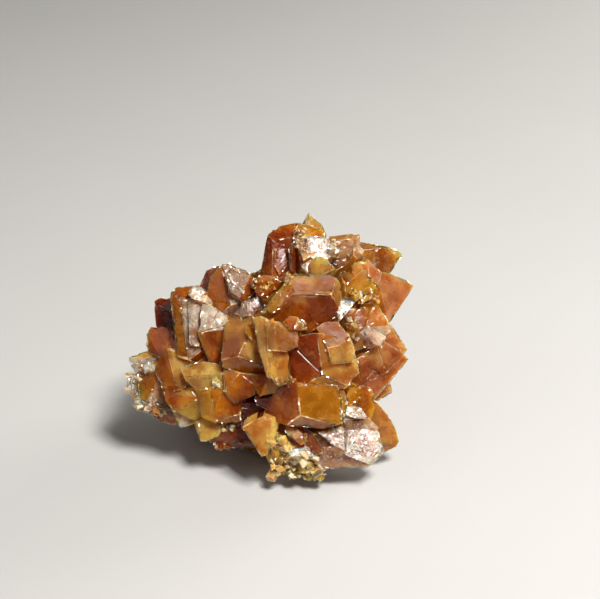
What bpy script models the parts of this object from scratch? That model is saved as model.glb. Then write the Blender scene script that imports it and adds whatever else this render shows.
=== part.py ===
"""An orange calcite cluster: blocky and bladed crystals grown from one heart, broken off flat below.

The crystals are described as an eye in front of the showing side sees them, in millimetres: across to the
right, up, and out towards the eye. The cluster then leans back on its foot, which is cut flat.
"""

import math
import random
from dataclasses import dataclass

import bmesh
import bpy
from mathutils import Matrix, Vector
from mathutils.geometry import convex_hull_2d

MM = 0.001
WELD = 0.002 * MM

# How the showing side leans back on the foot, where the eye is, and where the flat foot is cut.
SHOWING_LEAN = math.radians(30.0)
EYE_AWAY = 297.5
EYE_LEVEL = Vector((6.3, 9.8))
FOOT_DEPTH = 21.4
FOOT_CENTRE = Vector((0.015, 1.355))

# The heart that the crystals grow from, how near to it their roots go, and how much they narrow on the way.
HEART = Vector((1.0, -5.0, -9.0))
ROOT_SHARE = 0.4
TAPER = 0.69
BACK_TAPER = 0.9

# The block that a crystal is cut from, the steepest a face leans, and the most that its rim rises or falls.
ROUGH_BLOCK = 240.0
STEEPEST = 70.0
RIM_FALL = 6.0

# Calcite's rhomb: how far each face is from lying across its long axis, and how unevenly it grows.
RHOMB_SLOPE = math.radians(44.6)
RHOMB_TILT = 0.7
RHOMB_LEAST = 0.55

COLOUR = (0.62, 0.25, 0.045, 1.0)
ROUGHNESS = 0.2
REFRACTION = 1.6


@dataclass(frozen=True)
class Face:
    """A flat crystal face: a point that it passes through, and how far it leans to the right and up."""

    at: tuple
    lean: tuple

    def slope(self):
        """How fast the face falls away to the right and upwards."""
        return tuple(math.tan(math.radians(max(-STEEPEST, min(STEEPEST, angle)))) for angle in self.lean)


@dataclass(frozen=True)
class Crystal:
    """A crystal as it is seen: its outline, the faces that close it, and which way it looks."""

    name: str
    outline: tuple
    faces: tuple
    looks: float = 1.0
    taper: float = TAPER
    heart: Vector = HEART

    def out_at(self, corner):
        """How far out the crystal's surface is at a corner of its outline."""
        depths = []
        for face in self.faces:
            right, up = face.slope()
            fall = right * (corner[0] - face.at[0]) + up * (corner[1] - face.at[1])
            depths.append(face.at[2] - self.looks * fall)
        rim = min(depths) if self.looks > 0.0 else max(depths)
        level = self.faces[0].at[2]
        return max(level - RIM_FALL, min(level + RIM_FALL, rim))

    def planes(self):
        """Every face of the crystal, as a point on it and its outward direction."""
        rim = [on_sight_line(*corner, self.out_at(corner)) for corner in self.outline]
        middle = sum(rim, Vector()) / len(rim)
        root_middle = self.heart.lerp(middle, ROOT_SHARE)
        found = []
        for face in self.faces:
            right, up = face.slope()
            found.append((on_sight_line(*face.at), Vector((right, up, self.looks)).normalized()))
        for corner, following in zip(rim, rim[1:] + rim[:1]):
            root = root_middle + self.taper * (corner - middle)
            outward = (following - corner).cross(root - corner).normalized()
            if outward.dot(middle - corner) > 0.0:
                outward.negate()
            found.append((corner, outward))
        found.append((root_middle, (root_middle - middle).normalized()))
        return found


def on_sight_line(across, up, out):
    """The point that is out from the picture plane by the given depth and is seen at (across, up)."""
    seen = Vector((across, up))
    there = EYE_LEVEL + (seen - EYE_LEVEL) * (1.0 - out / EYE_AWAY)
    return Vector((there.x, there.y, out))


def rhomb_planes(middle, axis, spin, half_sizes):
    """The six faces of a small calcite rhomb around its middle, at calcite's own angles."""
    turn = Vector((0.0, 0.0, 1.0)).rotation_difference(axis)
    found = []
    for number, half in enumerate(half_sizes):
        around = spin + math.tau * number / 3
        flat = math.sin(RHOMB_SLOPE)
        normal = turn @ Vector((flat * math.cos(around), flat * math.sin(around), math.cos(RHOMB_SLOPE)))
        found.append((middle + normal * half, normal))
        found.append((middle - normal * half, -normal))
    return found


def showing_to_world():
    """The matrix from the showing side's axes, in millimetres, to the world, in metres."""
    sine, cosine = math.sin(SHOWING_LEAN), math.cos(SHOWING_LEAN)
    leant = Matrix(((1.0, 0.0, 0.0), (0.0, sine, -cosine), (0.0, cosine, sine))).to_4x4()
    lifted = Matrix.Translation((-FOOT_CENTRE.x, -FOOT_CENTRE.y, FOOT_DEPTH))
    return Matrix.Scale(MM, 4) @ lifted @ leant


def cut_solid(name, planes):
    """A closed convex object: a rough block with everything outside each plane cut away."""
    mesh = bmesh.new()
    bmesh.ops.create_cube(mesh, size=ROUGH_BLOCK)
    for point, outward in planes:
        everything = mesh.verts[:] + mesh.edges[:] + mesh.faces[:]
        cut = bmesh.ops.bisect_plane(
            mesh, geom=everything, plane_co=point, plane_no=outward, clear_outer=True
        )
        rim = [item for item in cut["geom_cut"] if isinstance(item, bmesh.types.BMEdge)]
        if rim:
            bmesh.ops.contextual_create(mesh, geom=rim)
    bmesh.ops.recalc_face_normals(mesh, faces=mesh.faces)
    mesh.transform(showing_to_world())
    data = bpy.data.meshes.new(name)
    mesh.to_mesh(data)
    mesh.free()
    solid = bpy.data.objects.new(name, data)
    bpy.context.scene.collection.objects.link(solid)
    return solid


# The tall dark block at the top, its white faces and the blade to its right.
CROWN = (
    Crystal("peak", ((5.6, 25.6), (8.3, 28.0), (9.4, 28.1), (11.0, 25.6), (12.1, 23.2), (10.0, 20.0),
                     (5.0, 20.0)),
            (Face((8.3, 25.0, 3.5), (-32, 8)), Face((8.3, 25.0, 3.5), (26, 14)))),
    Crystal("crown_west", ((-3.7, 14.2), (0.1, 24.2), (0.8, 25.2), (5.9, 26.1), (7.0, 20.0),
                           (6.0, 13.0), (0.0, 11.5)),
            (Face((2.0, 18.0, 8.0), (8, 2)), Face((0.3, 18.0, 8.0), (-46, 4)),
             Face((2.0, 22.3, 7.9), (-4, 48)))),
    Crystal("crown_ridge", ((1.2, 20.8), (3.4, 21.0), (3.6, 16.8), (2.0, 15.0), (0.9, 17.0)),
            (Face((2.0, 18.0, 8.35), (9, 10)),)),
    Crystal("crown_mid", ((4.7, 23.0), (6.0, 26.0), (11.2, 24.8), (12.0, 21.0), (7.0, 18.0)),
            (Face((8.0, 24.0, 6.5), (6, 36)),)),
    Crystal("crown_fin", ((3.8, 21.0), (5.0, 21.4), (5.5, 19.0), (5.4, 15.4), (4.2, 16.0)),
            (Face((4.6, 18.5, 9.0), (30, -8)), Face((4.5, 18.5, 9.0), (-30, -4)))),
    Crystal("crown_white", ((7.7, 23.2), (12.9, 22.9), (13.2, 20.8), (14.2, 19.2), (9.5, 17.8),
                            (7.4, 20.0)),
            (Face((10.0, 21.0, 8.9), (11, 19)),)),
    Crystal("crown_lobe", ((6.2, 19.6), (7.5, 21.2), (9.0, 20.0), (9.4, 17.6), (8.1, 14.9), (6.5, 16.6)),
            (Face((7.5, 18.0, 9.8), (11, 18)),)),
    Crystal("crown_nub", ((8.2, 14.4), (8.4, 17.8), (9.6, 18.8), (12.0, 18.4), (13.7, 16.2),
                          (10.5, 14.5)),
            (Face((10.5, 16.5, 11.0), (3, -6)), Face((12.6, 17.2, 10.8), (36, 30)))),
    Crystal("block_north_east", ((12.3, 23.1), (17.4, 23.7), (18.5, 23.6), (19.0, 22.3), (19.0, 17.5),
                                 (14.0, 16.0), (11.0, 18.0)),
            (Face((16.0, 20.0, 6.0), (6, 4)), Face((18.2, 20.0, 5.7), (58, 5)),
             Face((15.0, 22.5, 5.6), (-4, 58)))),
    Crystal("knob_north_east", ((17.6, 20.6), (18.6, 21.1), (19.8, 20.3), (19.9, 18.9), (18.4, 18.4),
                                (17.5, 19.2)),
            (Face((18.7, 19.8, 7.2), (14, 10)),)),
    Crystal("blade_north_east", ((17.0, 22.0), (19.8, 21.8), (27.0, 20.0), (27.6, 19.5), (27.8, 18.9),
                                 (25.2, 15.2), (20.0, 11.0), (14.0, 13.0)),
            (Face((23.0, 18.0, 2.5), (20, 6)), Face((23.5, 20.4, 2.2), (16, 42)))),
)

# The fan of thin pinkish blades down the right side, and the small crystals at their feet.
EAST = (
    Crystal("shoulder", ((17.0, 15.8), (17.2, 17.0), (18.6, 18.3), (20.6, 18.2), (22.6, 17.2),
                         (23.5, 15.8), (23.2, 13.0), (18.0, 12.6)),
            (Face((19.5, 15.8, 8.3), (2, 4)), Face((21.8, 15.0, 7.4), (42, 8)),
             Face((19.5, 13.6, 8.5), (6, -26)))),
    Crystal("shoulder_low", ((14.6, 15.2), (17.5, 16.0), (21.4, 14.2), (22.6, 12.0), (21.0, 9.6),
                             (15.6, 10.4)),
            (Face((18.0, 13.0, 8.6), (6, -4)), Face((16.2, 14.0, 8.4), (-20, 24)))),
    Crystal("blade_east", ((21.0, 15.8), (25.2, 15.3), (29.8, 13.4), (30.2, 12.8), (30.0, 12.2),
                           (25.2, 4.9), (18.0, 2.0), (15.0, 10.0)),
            (Face((25.0, 10.0, 4.5), (24, -3)), Face((22.4, 9.0, 4.9), (-4, -10)))),
    Crystal("notch_east", ((20.0, 11.6), (22.0, 11.2), (23.2, 10.2), (22.2, 8.9), (19.6, 9.0)),
            (Face((21.5, 10.2, 7.4), (22, 26)),)),
    Crystal("glint_east", ((13.8, 7.2), (15.1, 9.9), (17.9, 9.3), (16.3, 7.1), (14.5, 5.0)),
            (Face((15.5, 7.5, 11.3), (11, 19)),)),
    Crystal("east_middle", ((15.0, 9.4), (22.0, 9.6), (25.0, 5.2), (25.4, 3.0), (21.0, 0.0),
                            (15.0, -2.0)),
            (Face((20.0, 6.0, 7.8), (12, 10)), Face((20.0, 3.6, 8.1), (14, -12)))),
    Crystal("chip_east", ((23.9, 5.2), (25.1, 5.2), (25.1, 4.1), (24.0, 4.0)),
            (Face((24.5, 4.6, 6.8), (11, 19)),)),
    Crystal("pink_rhomb", ((19.0, 2.8), (20.9, 4.3), (24.5, 1.9), (23.3, 0.1), (21.2, 0.4)),
            (Face((22.0, 2.2, 8.7), (10, 4)), Face((20.2, 1.6, 8.7), (-20, -22)))),
    Crystal("spur_east", ((21.0, 6.0), (25.2, 5.0), (28.7, -0.1), (28.9, -0.7), (28.1, -1.9),
                          (24.0, -6.0), (16.0, -4.0)),
            (Face((24.0, 0.5, 5.4), (22, 4)), Face((22.0, -1.0, 6.0), (0, -4)))),
    Crystal("spur_low", ((24.0, 1.0), (28.2, -1.7), (29.2, -2.7), (27.4, -5.2), (25.3, -7.6),
                         (21.0, -13.0), (14.0, -12.0), (14.0, -4.0)),
            (Face((22.0, -5.0, 5.6), (16, -6)), Face((18.5, -8.0, 6.0), (-12, -10)))),
    Crystal("spur_edge", ((23.0, -5.0), (25.4, -7.4), (25.6, -8.6), (25.8, -9.8), (22.6, -11.6),
                          (18.0, -10.0)),
            (Face((24.0, -9.0, 2.6), (12, -6)),)),
    Crystal("south_east", ((19.0, -10.5), (22.5, -11.8), (25.2, -15.0), (26.6, -17.8), (27.2, -20.1),
                           (24.1, -22.6), (18.0, -21.0), (14.0, -14.0)),
            (Face((24.0, -17.0, 4.5), (34, -2)), Face((25.4, -20.6, 3.6), (26, -38)))),
    Crystal("ledge_east", ((16.2, -9.6), (18.5, -8.0), (21.5, -9.0), (22.0, -13.0), (21.0, -16.5),
                           (16.5, -16.5)),
            (Face((19.0, -12.0, 8.3), (10, 0)),)),
    Crystal("ledge_white", ((15.8, -14.6), (15.9, -13.4), (16.6, -12.8), (19.2, -13.0), (20.4, -14.9),
                            (18.6, -15.3)),
            (Face((18.0, -14.0, 10.2), (11, 19)),)),
    Crystal("ledge_low", ((15.2, -15.4), (20.8, -15.2), (23.0, -17.2), (22.4, -18.6), (18.2, -18.2),
                          (15.0, -16.9)),
            (Face((19.0, -16.6, 9.2), (14, -10)),)),
)

# The white cleaved plate at the lower right, the honey block, and the crust of small crystals between them.
SOUTH = (
    Crystal("plate_white", ((16.2, -17.0), (18.6, -17.0), (22.5, -17.9), (24.2, -22.2), (21.0, -25.0),
                            (16.0, -23.0)),
            (Face((19.5, -20.0, 9.8), (11, 19)),)),
    Crystal("plate_silver", ((10.0, -18.1), (15.5, -16.4), (15.7, -22.0), (12.8, -20.6)),
            (Face((13.5, -18.8, 10.7), (10, 18)),)),
    Crystal("plate_groove", ((15.2, -16.2), (16.4, -16.8), (16.3, -22.6), (15.4, -22.2)),
            (Face((15.8, -19.0, 10.1), (0, 8)),)),
    Crystal("plate_foot", ((8.6, -21.0), (15.6, -21.4), (24.2, -22.3), (21.2, -25.1), (13.2, -25.9),
                           (9.6, -25.0)),
            (Face((15.0, -23.4, 10.4), (2, -16)), Face((20.0, -23.6, 10.1), (20, -10)))),
    Crystal("plate_side", ((7.6, -17.2), (10.3, -17.9), (15.8, -21.9), (15.0, -23.4), (11.8, -23.2)),
            (Face((11.0, -20.2, 10.5), (-8, -2)),)),
    Crystal("strip_east", ((13.9, -9.4), (15.6, -9.4), (16.4, -11.8), (15.8, -14.6), (15.0, -16.6),
                           (14.2, -14.0)),
            (Face((15.2, -12.5, 11.4), (26, 2)),)),
    Crystal("low_centre", ((-1.0, -12.5), (1.5, -9.0), (5.0, -7.6), (14.2, -8.2), (15.2, -11.0),
                           (15.0, -16.2), (11.0, -17.4), (3.0, -16.5), (-1.0, -15.0)),
            (Face((8.0, -12.0, 14.2), (12, -4)), Face((5.2, -12.0, 14.2), (-28, -8)),
             Face((8.0, -14.8, 14.2), (0, -40)))),
    Crystal("pink_slope", ((2.6, -15.8), (5.4, -16.8), (6.6, -18.2), (8.0, -20.2), (6.6, -21.0),
                           (3.4, -18.6)),
            (Face((5.4, -18.4, 11.4), (-6, 22)),)),
    Crystal("pink_step", ((6.0, -16.4), (8.4, -17.4), (11.6, -22.4), (9.4, -23.0), (6.4, -20.0)),
            (Face((8.6, -19.8, 11.0), (-22, 6)),)),
    Crystal("cream_block", ((3.9, -22.6), (5.0, -21.4), (8.2, -21.1), (10.5, -22.7), (8.3, -23.8),
                            (5.9, -24.8)),
            (Face((6.6, -22.6, 11.7), (10, 20)), Face((6.8, -24.0, 11.4), (8, -26)))),
    Crystal("druse_bed", ((-0.2, -24.0), (0.6, -19.0), (3.0, -17.0), (10.0, -21.0), (11.9, -25.4),
                          (10.0, -27.4), (4.8, -27.4), (0.6, -25.2)),
            (Face((5.0, -22.0, 9.8), (4, 8)), Face((5.0, -25.0, 9.6), (0, -26)))),
    Crystal("honey_block", ((-5.9, -17.0), (-2.9, -15.4), (-1.4, -14.8), (1.2, -14.8), (2.0, -16.2),
                            (1.4, -18.6), (-0.6, -22.9), (-1.8, -23.4)),
            (Face((-2.0, -18.5, 12.6), (-7, 8)), Face((0.2, -18.5, 12.6), (46, 0)))),
    Crystal("niche_ledge", ((-3.2, -10.5), (-2.0, -10.0), (0.2, -10.8), (0.8, -12.6), (0.4, -13.8),
                            (-2.8, -12.6)),
            (Face((-1.0, -11.2, 11.6), (0, 28)), Face((-1.0, -11.2, 11.6), (0, -16)))),
    Crystal("niche_back", ((-6.0, -12.0), (-2.0, -12.0), (1.0, -13.0), (1.0, -16.0), (-6.0, -17.5)),
            (Face((-3.0, -14.5, 9.2), (6, -12)),)),
)

# The large blocks in the middle, which stand out the furthest.
CENTRE = (
    Crystal("centre", ((4.0, 1.0), (6.0, 2.4), (11.0, 2.8), (16.0, 1.5), (17.9, -1.5), (18.8, -5.6),
                       (15.6, -9.0), (7.0, -8.4), (4.6, -7.0), (3.4, -4.0)),
            (Face((10.6, -3.0, 15.0), (18, -4)), Face((10.6, -3.0, 15.0), (-16, -8)),
             Face((10.0, -6.0, 14.8), (2, -36)))),
    Crystal("centre_cap", ((9.6, 3.8), (11.8, 5.2), (14.6, 5.1), (16.4, 2.6), (17.9, -0.6), (17.6, -3.4),
                           (13.0, -3.8), (11.4, 0.8)),
            (Face((13.4, 1.0, 14.9), (8, 26)), Face((15.4, -0.6, 14.8), (26, 4)),
             Face((13.6, -1.6, 15.2), (15, -5)))),
    Crystal("upper_centre", ((0.2, 5.4), (8.0, 3.0), (10.5, 3.4), (13.6, 6.0), (15.2, 10.2),
                             (14.8, 13.2), (12.4, 15.0), (4.6, 15.2), (3.0, 12.6)),
            (Face((8.0, 10.8, 12.9), (2, 24)), Face((8.0, 10.8, 12.9), (3, -16)),
             Face((13.0, 11.0, 12.6), (40, 10)))),
    Crystal("seam_north", ((-3.9, 14.4), (-1.2, 14.9), (2.8, 13.8), (1.2, 11.4), (-1.4, 9.8),
                           (-3.0, 11.2)),
            (Face((-1.2, 13.0, 10.2), (-8, 12)), Face((0.6, 12.8, 10.2), (16, -6)))),
    Crystal("upper_blade", ((-1.9, 7.2), (-0.4, 9.2), (3.4, 13.6), (4.8, 13.0), (5.4, 11.0), (2.6, 8.0),
                            (0.4, 6.8)),
            (Face((2.0, 10.2, 13.2), (-12, 14)), Face((3.6, 9.8, 13.2), (34, -20)))),
    Crystal("plate_left", ((-3.4, 6.0), (-2.2, 6.4), (0.4, 5.2), (1.2, 1.0), (0.6, -2.0), (-0.6, -6.4),
                           (-2.4, -1.0)),
            (Face((-1.2, 2.0, 15.7), (-26, 2)), Face((-0.2, 2.0, 15.8), (6, 6)))),
    Crystal("plate_upper", ((-1.4, 5.0), (1.0, 5.2), (2.6, 5.3), (5.6, 4.9), (6.0, 1.8), (5.9, 0.0),
                            (3.6, -1.2), (-0.8, -1.0)),
            (Face((2.5, 2.5, 16.1), (2, 10)), Face((0.8, 2.5, 16.1), (-20, 8)))),
    Crystal("plate_horn", ((2.7, 5.2), (4.4, 6.5), (5.6, 6.2), (7.6, 5.2), (6.6, 3.2), (4.2, 3.4)),
            (Face((4.9, 5.0, 16.3), (-8, 18)), Face((6.0, 4.6, 16.1), (34, 6)))),
    Crystal("plate_lower", ((-2.4, 0.2), (3.8, -0.8), (4.0, -2.4), (4.8, -5.6), (4.4, -7.0),
                            (2.4, -8.3), (1.4, -7.8), (-1.0, -5.6)),
            (Face((1.5, -3.5, 15.3), (2, -4)), Face((-0.4, -3.5, 15.3), (-24, 0)))),
    Crystal("bridge_right", ((-4.8, -5.8), (4.6, -6.2), (5.8, -8.4), (1.4, -9.8), (-2.2, -10.6)),
            (Face((0.6, -8.0, 12.8), (4, -14)), Face((-2.6, -8.0, 12.4), (-18, -4)))),
    Crystal("west_middle", ((-9.4, 5.0), (-7.5, 6.5), (-3.0, 6.2), (-0.5, -3.0), (-0.5, -7.0),
                            (-5.0, -5.8), (-9.8, -4.8)),
            (Face((-5.6, 1.6, 12.6), (-18, 14)), Face((-4.6, 0.6, 12.7), (10, 2)),
             Face((-5.0, -3.2, 12.6), (-6, -36)))),
    Crystal("west_hollow", ((-5.2, 4.6), (-3.4, 5.6), (-2.6, 1.2), (-3.4, 0.8), (-5.2, 2.8)),
            (Face((-4.0, 3.0, 12.9), (30, 20)),)),
    Crystal("lavender", ((-8.4, 7.2), (-6.2, 8.9), (-4.8, 10.8), (-3.3, 11.8), (-2.4, 10.0),
                         (-2.2, 8.0), (-4.0, 6.4), (-5.6, 6.2)),
            (Face((-4.4, 8.6, 12.0), (7, 14)), Face((-6.6, 7.6, 11.7), (-24, 10)))),
)

# The dark upright blocks at the upper left, and the broad lumps below them.
WEST = (
    Crystal("north_west", ((-13.6, 10.0), (-12.4, 15.4), (-10.4, 17.0), (-8.8, 17.8), (-8.0, 17.5),
                           (-6.7, 16.2), (-5.4, 13.0), (-7.0, 9.0), (-10.2, 6.8)),
            (Face((-9.0, 12.5, 8.4), (4, 14)), Face((-9.0, 12.5, 8.4), (-24, 8)))),
    Crystal("north_west_back", ((-14.9, 12.6), (-13.4, 16.0), (-10.8, 17.0), (-9.0, 12.0), (-14.0, 9.0)),
            (Face((-12.4, 14.0, 4.8), (-30, 10)),)),
    Crystal("north_west_right", ((-9.6, 15.2), (-8.0, 16.4), (-6.0, 16.4), (-5.0, 15.8), (-3.2, 14.2),
                                 (-2.6, 12.0), (-5.4, 9.4), (-8.6, 11.6)),
            (Face((-7.2, 13.8, 8.7), (22, 32)), Face((-5.4, 14.0, 8.3), (40, 22)))),
    Crystal("north_west_streak", ((-9.4, 15.1), (-8.3, 15.3), (-5.3, 11.8), (-5.5, 10.9), (-8.4, 12.8)),
            (Face((-7.4, 13.2, 9.6), (10, 16)),)),
    Crystal("column", ((-21.0, 10.0), (-20.4, 12.0), (-19.4, 12.4), (-14.8, 12.8), (-13.6, 9.0),
                       (-14.6, -1.0), (-17.0, -3.0), (-20.6, -2.0)),
            (Face((-18.8, 5.0, 8.4), (-20, 0)), Face((-16.4, 5.0, 8.4), (6, 4)),
             Face((-17.0, 10.2, 8.3), (4, 44)))),
    Crystal("column_cap", ((-17.6, 11.4), (-16.0, 12.7), (-14.4, 12.4), (-13.2, 10.6), (-13.6, 9.2),
                           (-16.4, 10.0)),
            (Face((-15.2, 11.2, 8.9), (10, 24)),)),
    Crystal("slab_pale", ((-17.4, 9.0), (-16.6, 9.9), (-14.8, 9.4), (-14.9, 2.4), (-15.0, 0.0),
                          (-17.0, 0.2), (-17.1, 4.0)),
            (Face((-16.2, 5.0, 9.1), (10, 8)),)),
    Crystal("slab_step", ((-14.7, 6.6), (-14.2, 8.9), (-12.4, 8.4), (-10.2, 6.9), (-11.8, 5.2),
                          (-13.0, 2.0), (-14.4, 1.8)),
            (Face((-13.4, 5.6, 9.8), (9, 9)),)),
    Crystal("column_right", ((-15.0, 7.0), (-12.5, 8.6), (-9.0, 6.6), (-8.6, 4.0), (-9.4, -4.4),
                             (-14.2, -3.6), (-15.0, 2.0)),
            (Face((-12.0, 3.0, 9.9), (12, -12)), Face((-12.0, 5.0, 9.7), (6, 16)))),
    Crystal("dark_block", ((-24.4, 8.8), (-23.5, 10.1), (-20.0, 10.3), (-18.0, 3.0), (-20.0, 0.0),
                           (-24.0, 3.0)),
            (Face((-22.3, 6.5, 4.2), (-28, -4)), Face((-22.5, 8.6, 4.0), (-10, 26)))),
    Crystal("west_nub", ((-25.9, 2.6), (-25.2, 4.1), (-21.0, 4.0), (-19.0, 0.0), (-22.0, -3.0),
                         (-25.8, -1.2)),
            (Face((-23.6, 1.8, 4.4), (-20, 14)), Face((-25.0, 0.6, 4.1), (-36, 0)))),
    Crystal("west_tip", ((-29.6, -2.9), (-28.2, -1.7), (-25.4, -0.9), (-20.0, 0.6), (-18.0, -4.0),
                         (-23.0, -7.0), (-28.4, -5.8)),
            (Face((-25.0, -2.4, 4.2), (-6, 40)), Face((-25.0, -2.4, 4.2), (-6, -16)))),
    Crystal("west_white", ((-27.1, -3.9), (-25.3, -3.2), (-23.7, -4.4), (-23.8, -5.2), (-26.4, -5.8)),
            (Face((-25.4, -4.2, 5.6), (9, 17)),)),
    Crystal("west_lump", ((-28.0, -7.6), (-26.8, -5.6), (-23.3, -5.1), (-20.5, -8.0), (-22.0, -12.0),
                          (-27.4, -10.8)),
            (Face((-25.2, -8.0, 5.4), (-14, 2)), Face((-24.0, -9.0, 5.4), (16, -14)))),
    Crystal("west_edge", ((-30.1, -9.0), (-29.7, -7.0), (-28.6, -5.6), (-26.8, -5.4), (-26.4, -9.6),
                          (-27.8, -11.0), (-29.6, -10.2)),
            (Face((-28.4, -8.0, 3.6), (-4, 14)),)),
    Crystal("south_west", ((-28.6, -12.4), (-28.3, -10.8), (-24.0, -9.6), (-16.0, -12.0), (-20.0, -16.6),
                           (-21.6, -16.6), (-25.2, -14.9), (-27.6, -13.4)),
            (Face((-25.0, -12.2, 4.6), (-2, 20)), Face((-23.0, -13.4, 4.6), (-8, -30)))),
    Crystal("south_west_lobe", ((-21.4, -14.0), (-19.6, -12.8), (-16.2, -13.0), (-15.6, -16.4),
                                (-17.2, -17.2), (-18.6, -17.1), (-21.4, -16.5)),
            (Face((-19.6, -14.6, 6.4), (-16, -2)), Face((-18.2, -15.0, 6.4), (26, -14)))),
    Crystal("left_bay", ((-22.4, -0.4), (-14.2, -0.2), (-13.4, -3.4), (-17.0, -8.6), (-22.0, -10.4),
                         (-24.4, -5.0)),
            (Face((-18.5, -4.0, 7.8), (2, 8)), Face((-21.4, -5.0, 7.6), (-26, 0)))),
    Crystal("left_middle", ((-18.8, -4.6), (-14.0, -3.2), (-10.4, -3.8), (-9.4, -7.8), (-11.4, -9.0),
                            (-15.2, -9.8)),
            (Face((-13.6, -5.6, 9.8), (0, 12)), Face((-13.6, -7.2, 9.8), (2, -18)))),
    Crystal("left_low", ((-22.4, -8.4), (-15.3, -8.6), (-13.0, -13.6), (-14.0, -16.6), (-17.0, -15.2),
                         (-22.0, -12.2)),
            (Face((-18.0, -10.4, 8.3), (-10, 6)), Face((-17.0, -12.6, 8.3), (4, -26)))),
    Crystal("middle_low", ((-15.6, -9.4), (-9.4, -7.8), (-5.4, -10.4), (-6.2, -16.2), (-9.6, -16.2),
                           (-14.4, -15.0)),
            (Face((-10.6, -11.6, 10.1), (2, -4)), Face((-12.6, -12.4, 9.8), (-24, -8)),
             Face((-8.6, -14.4, 10.1), (10, -28)))),
    Crystal("middle_bridge", ((-10.0, -4.6), (-1.0, -6.4), (0.6, -8.6), (-3.6, -10.4), (-6.0, -13.6),
                              (-9.6, -10.0)),
            (Face((-5.5, -8.0, 11.8), (-6, -12)), Face((-7.8, -7.6, 11.7), (-26, 6)))),
    Crystal("low_left", ((-15.9, -15.8), (-14.4, -15.2), (-8.8, -15.6), (-11.0, -19.0), (-13.4, -20.1),
                         (-14.6, -19.9), (-15.6, -18.4)),
            (Face((-13.0, -17.2, 7.8), (-2, 6)), Face((-15.2, -17.6, 7.4), (-44, 0)))),
    Crystal("low_dark", ((-13.2, -18.6), (-9.5, -16.4), (-5.0, -16.0), (-2.4, -20.0), (-3.2, -21.2),
                         (-8.6, -21.5), (-10.6, -21.3), (-12.6, -20.4)),
            (Face((-8.0, -18.4, 7.0), (0, -12)), Face((-8.0, -20.0, 6.8), (-4, -40)))),
)


@dataclass(frozen=True)
class Druse:
    """A patch of small rhombs grown on the larger crystals: where it is, how wide, how many and how big."""

    middle: tuple
    spread: tuple
    count: int
    size: float
    seed: int

    def solids(self):
        """The planes of each of the patch's rhombs."""
        chance = random.Random(self.seed)
        for _ in range(self.count):
            across = self.middle[0] + chance.uniform(-1.0, 1.0) * self.spread[0]
            up = self.middle[1] + chance.uniform(-1.0, 1.0) * self.spread[1]
            out = self.middle[2] + chance.uniform(-1.0, 1.0) * self.spread[2]
            right, above = chance.uniform(-RHOMB_TILT, RHOMB_TILT), chance.uniform(-RHOMB_TILT, RHOMB_TILT)
            axis = Vector((right, above, 1.0)).normalized()
            halves = [self.size * chance.uniform(RHOMB_LEAST, 1.0) for _ in range(3)]
            yield rhomb_planes(on_sight_line(across, up, out), axis, chance.uniform(0.0, math.tau), halves)


# The crusts of small rhombs along the bottom, at the left rim and in the hollows.
DRUSES = (
    Druse((6.2, -26.5, 8.6), (4.6, 0.8, 1.0), 26, 0.75, 1),
    Druse((2.0, -23.6, 9.5), (2.0, 1.2, 1.0), 8, 1.0, 2),
    Druse((2.6, -20.6, 10.2), (1.6, 1.6, 0.8), 8, 0.95, 3),
    Druse((9.6, -25.0, 9.2), (1.3, 1.0, 0.8), 4, 1.0, 4),
    Druse((-28.9, -8.2, 3.3), (0.7, 2.0, 0.5), 12, 0.62, 5),
    Druse((-27.3, -11.9, 3.9), (0.7, 1.1, 0.5), 8, 0.62, 6),
    Druse((-27.9, -6.3, 3.6), (0.6, 0.6, 0.4), 5, 0.6, 7),
    Druse((6.4, 22.4, 7.5), (1.1, 1.7, 0.4), 9, 0.75, 8),
    Druse((-1.4, 13.4, 9.4), (1.7, 0.6, 0.6), 7, 0.75, 9),
    Druse((4.0, 14.0, 10.2), (0.7, 0.9, 0.8), 4, 0.8, 10),
    Druse((18.0, 10.6, 8.9), (2.6, 0.9, 0.4), 7, 0.85, 11),
    Druse((17.4, 3.6, 8.9), (0.9, 1.8, 0.6), 6, 0.7, 12),
    Druse((-8.8, -17.2, 6.9), (1.5, 0.5, 0.4), 6, 0.7, 13),
    Druse((-10.8, -8.0, 10.2), (0.9, 0.8, 0.4), 4, 0.6, 14),
    Druse((13.2, 20.0, 9.0), (0.8, 0.6, 0.4), 4, 0.7, 15),
    Druse((-10.0, -21.0, 6.0), (1.6, 0.3, 0.5), 4, 0.7, 16),
    Druse((2.2, -7.4, 14.7), (1.0, 0.6, 0.4), 4, 0.6, 17),
)

# How far the far side reaches from the middle, from the right and round by the top in equal steps.
BACK_REACH = (
    25.0, 24.5, 27.0, 28.0, 25.5, 23.0, 18.5, 14.5, 16.5, 18.0, 21.0, 24.0,
    24.5, 27.5, 27.0, 22.5, 22.5, 21.0, 23.0, 27.0, 28.5, 29.5, 24.5, 24.5,
)


@dataclass(frozen=True)
class BackRing:
    """A ring of crystals on the far side."""

    share: float
    count: int
    out: float
    size: float


# From the middle of the far side to its rim.
BACK_RINGS = (
    BackRing(share=0.0, count=1, out=-23.5, size=8.0),
    BackRing(share=0.38, count=6, out=-22.0, size=7.0),
    BackRing(share=0.64, count=11, out=-18.5, size=6.8),
    BackRing(share=0.84, count=15, out=-12.5, size=6.4),
    BackRing(share=0.92, count=19, out=-6.0, size=5.4),
)
BACK_SEED = 41
BACK_LEAN = 56.0
BACK_CORNERS = (4, 4, 5, 6)
BACK_GIRTH = (0.65, 1.1)
BACK_BULGE = (0.75, 1.05)
BACK_UNEVEN = 0.2
CORNER_UNEVEN = 0.18
LEVEL_UNEVEN = 2.5
ROOF_LEAN = (8, 26)
END_LEAN = (14, 30)
SIDE_LEAN = 12


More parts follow.
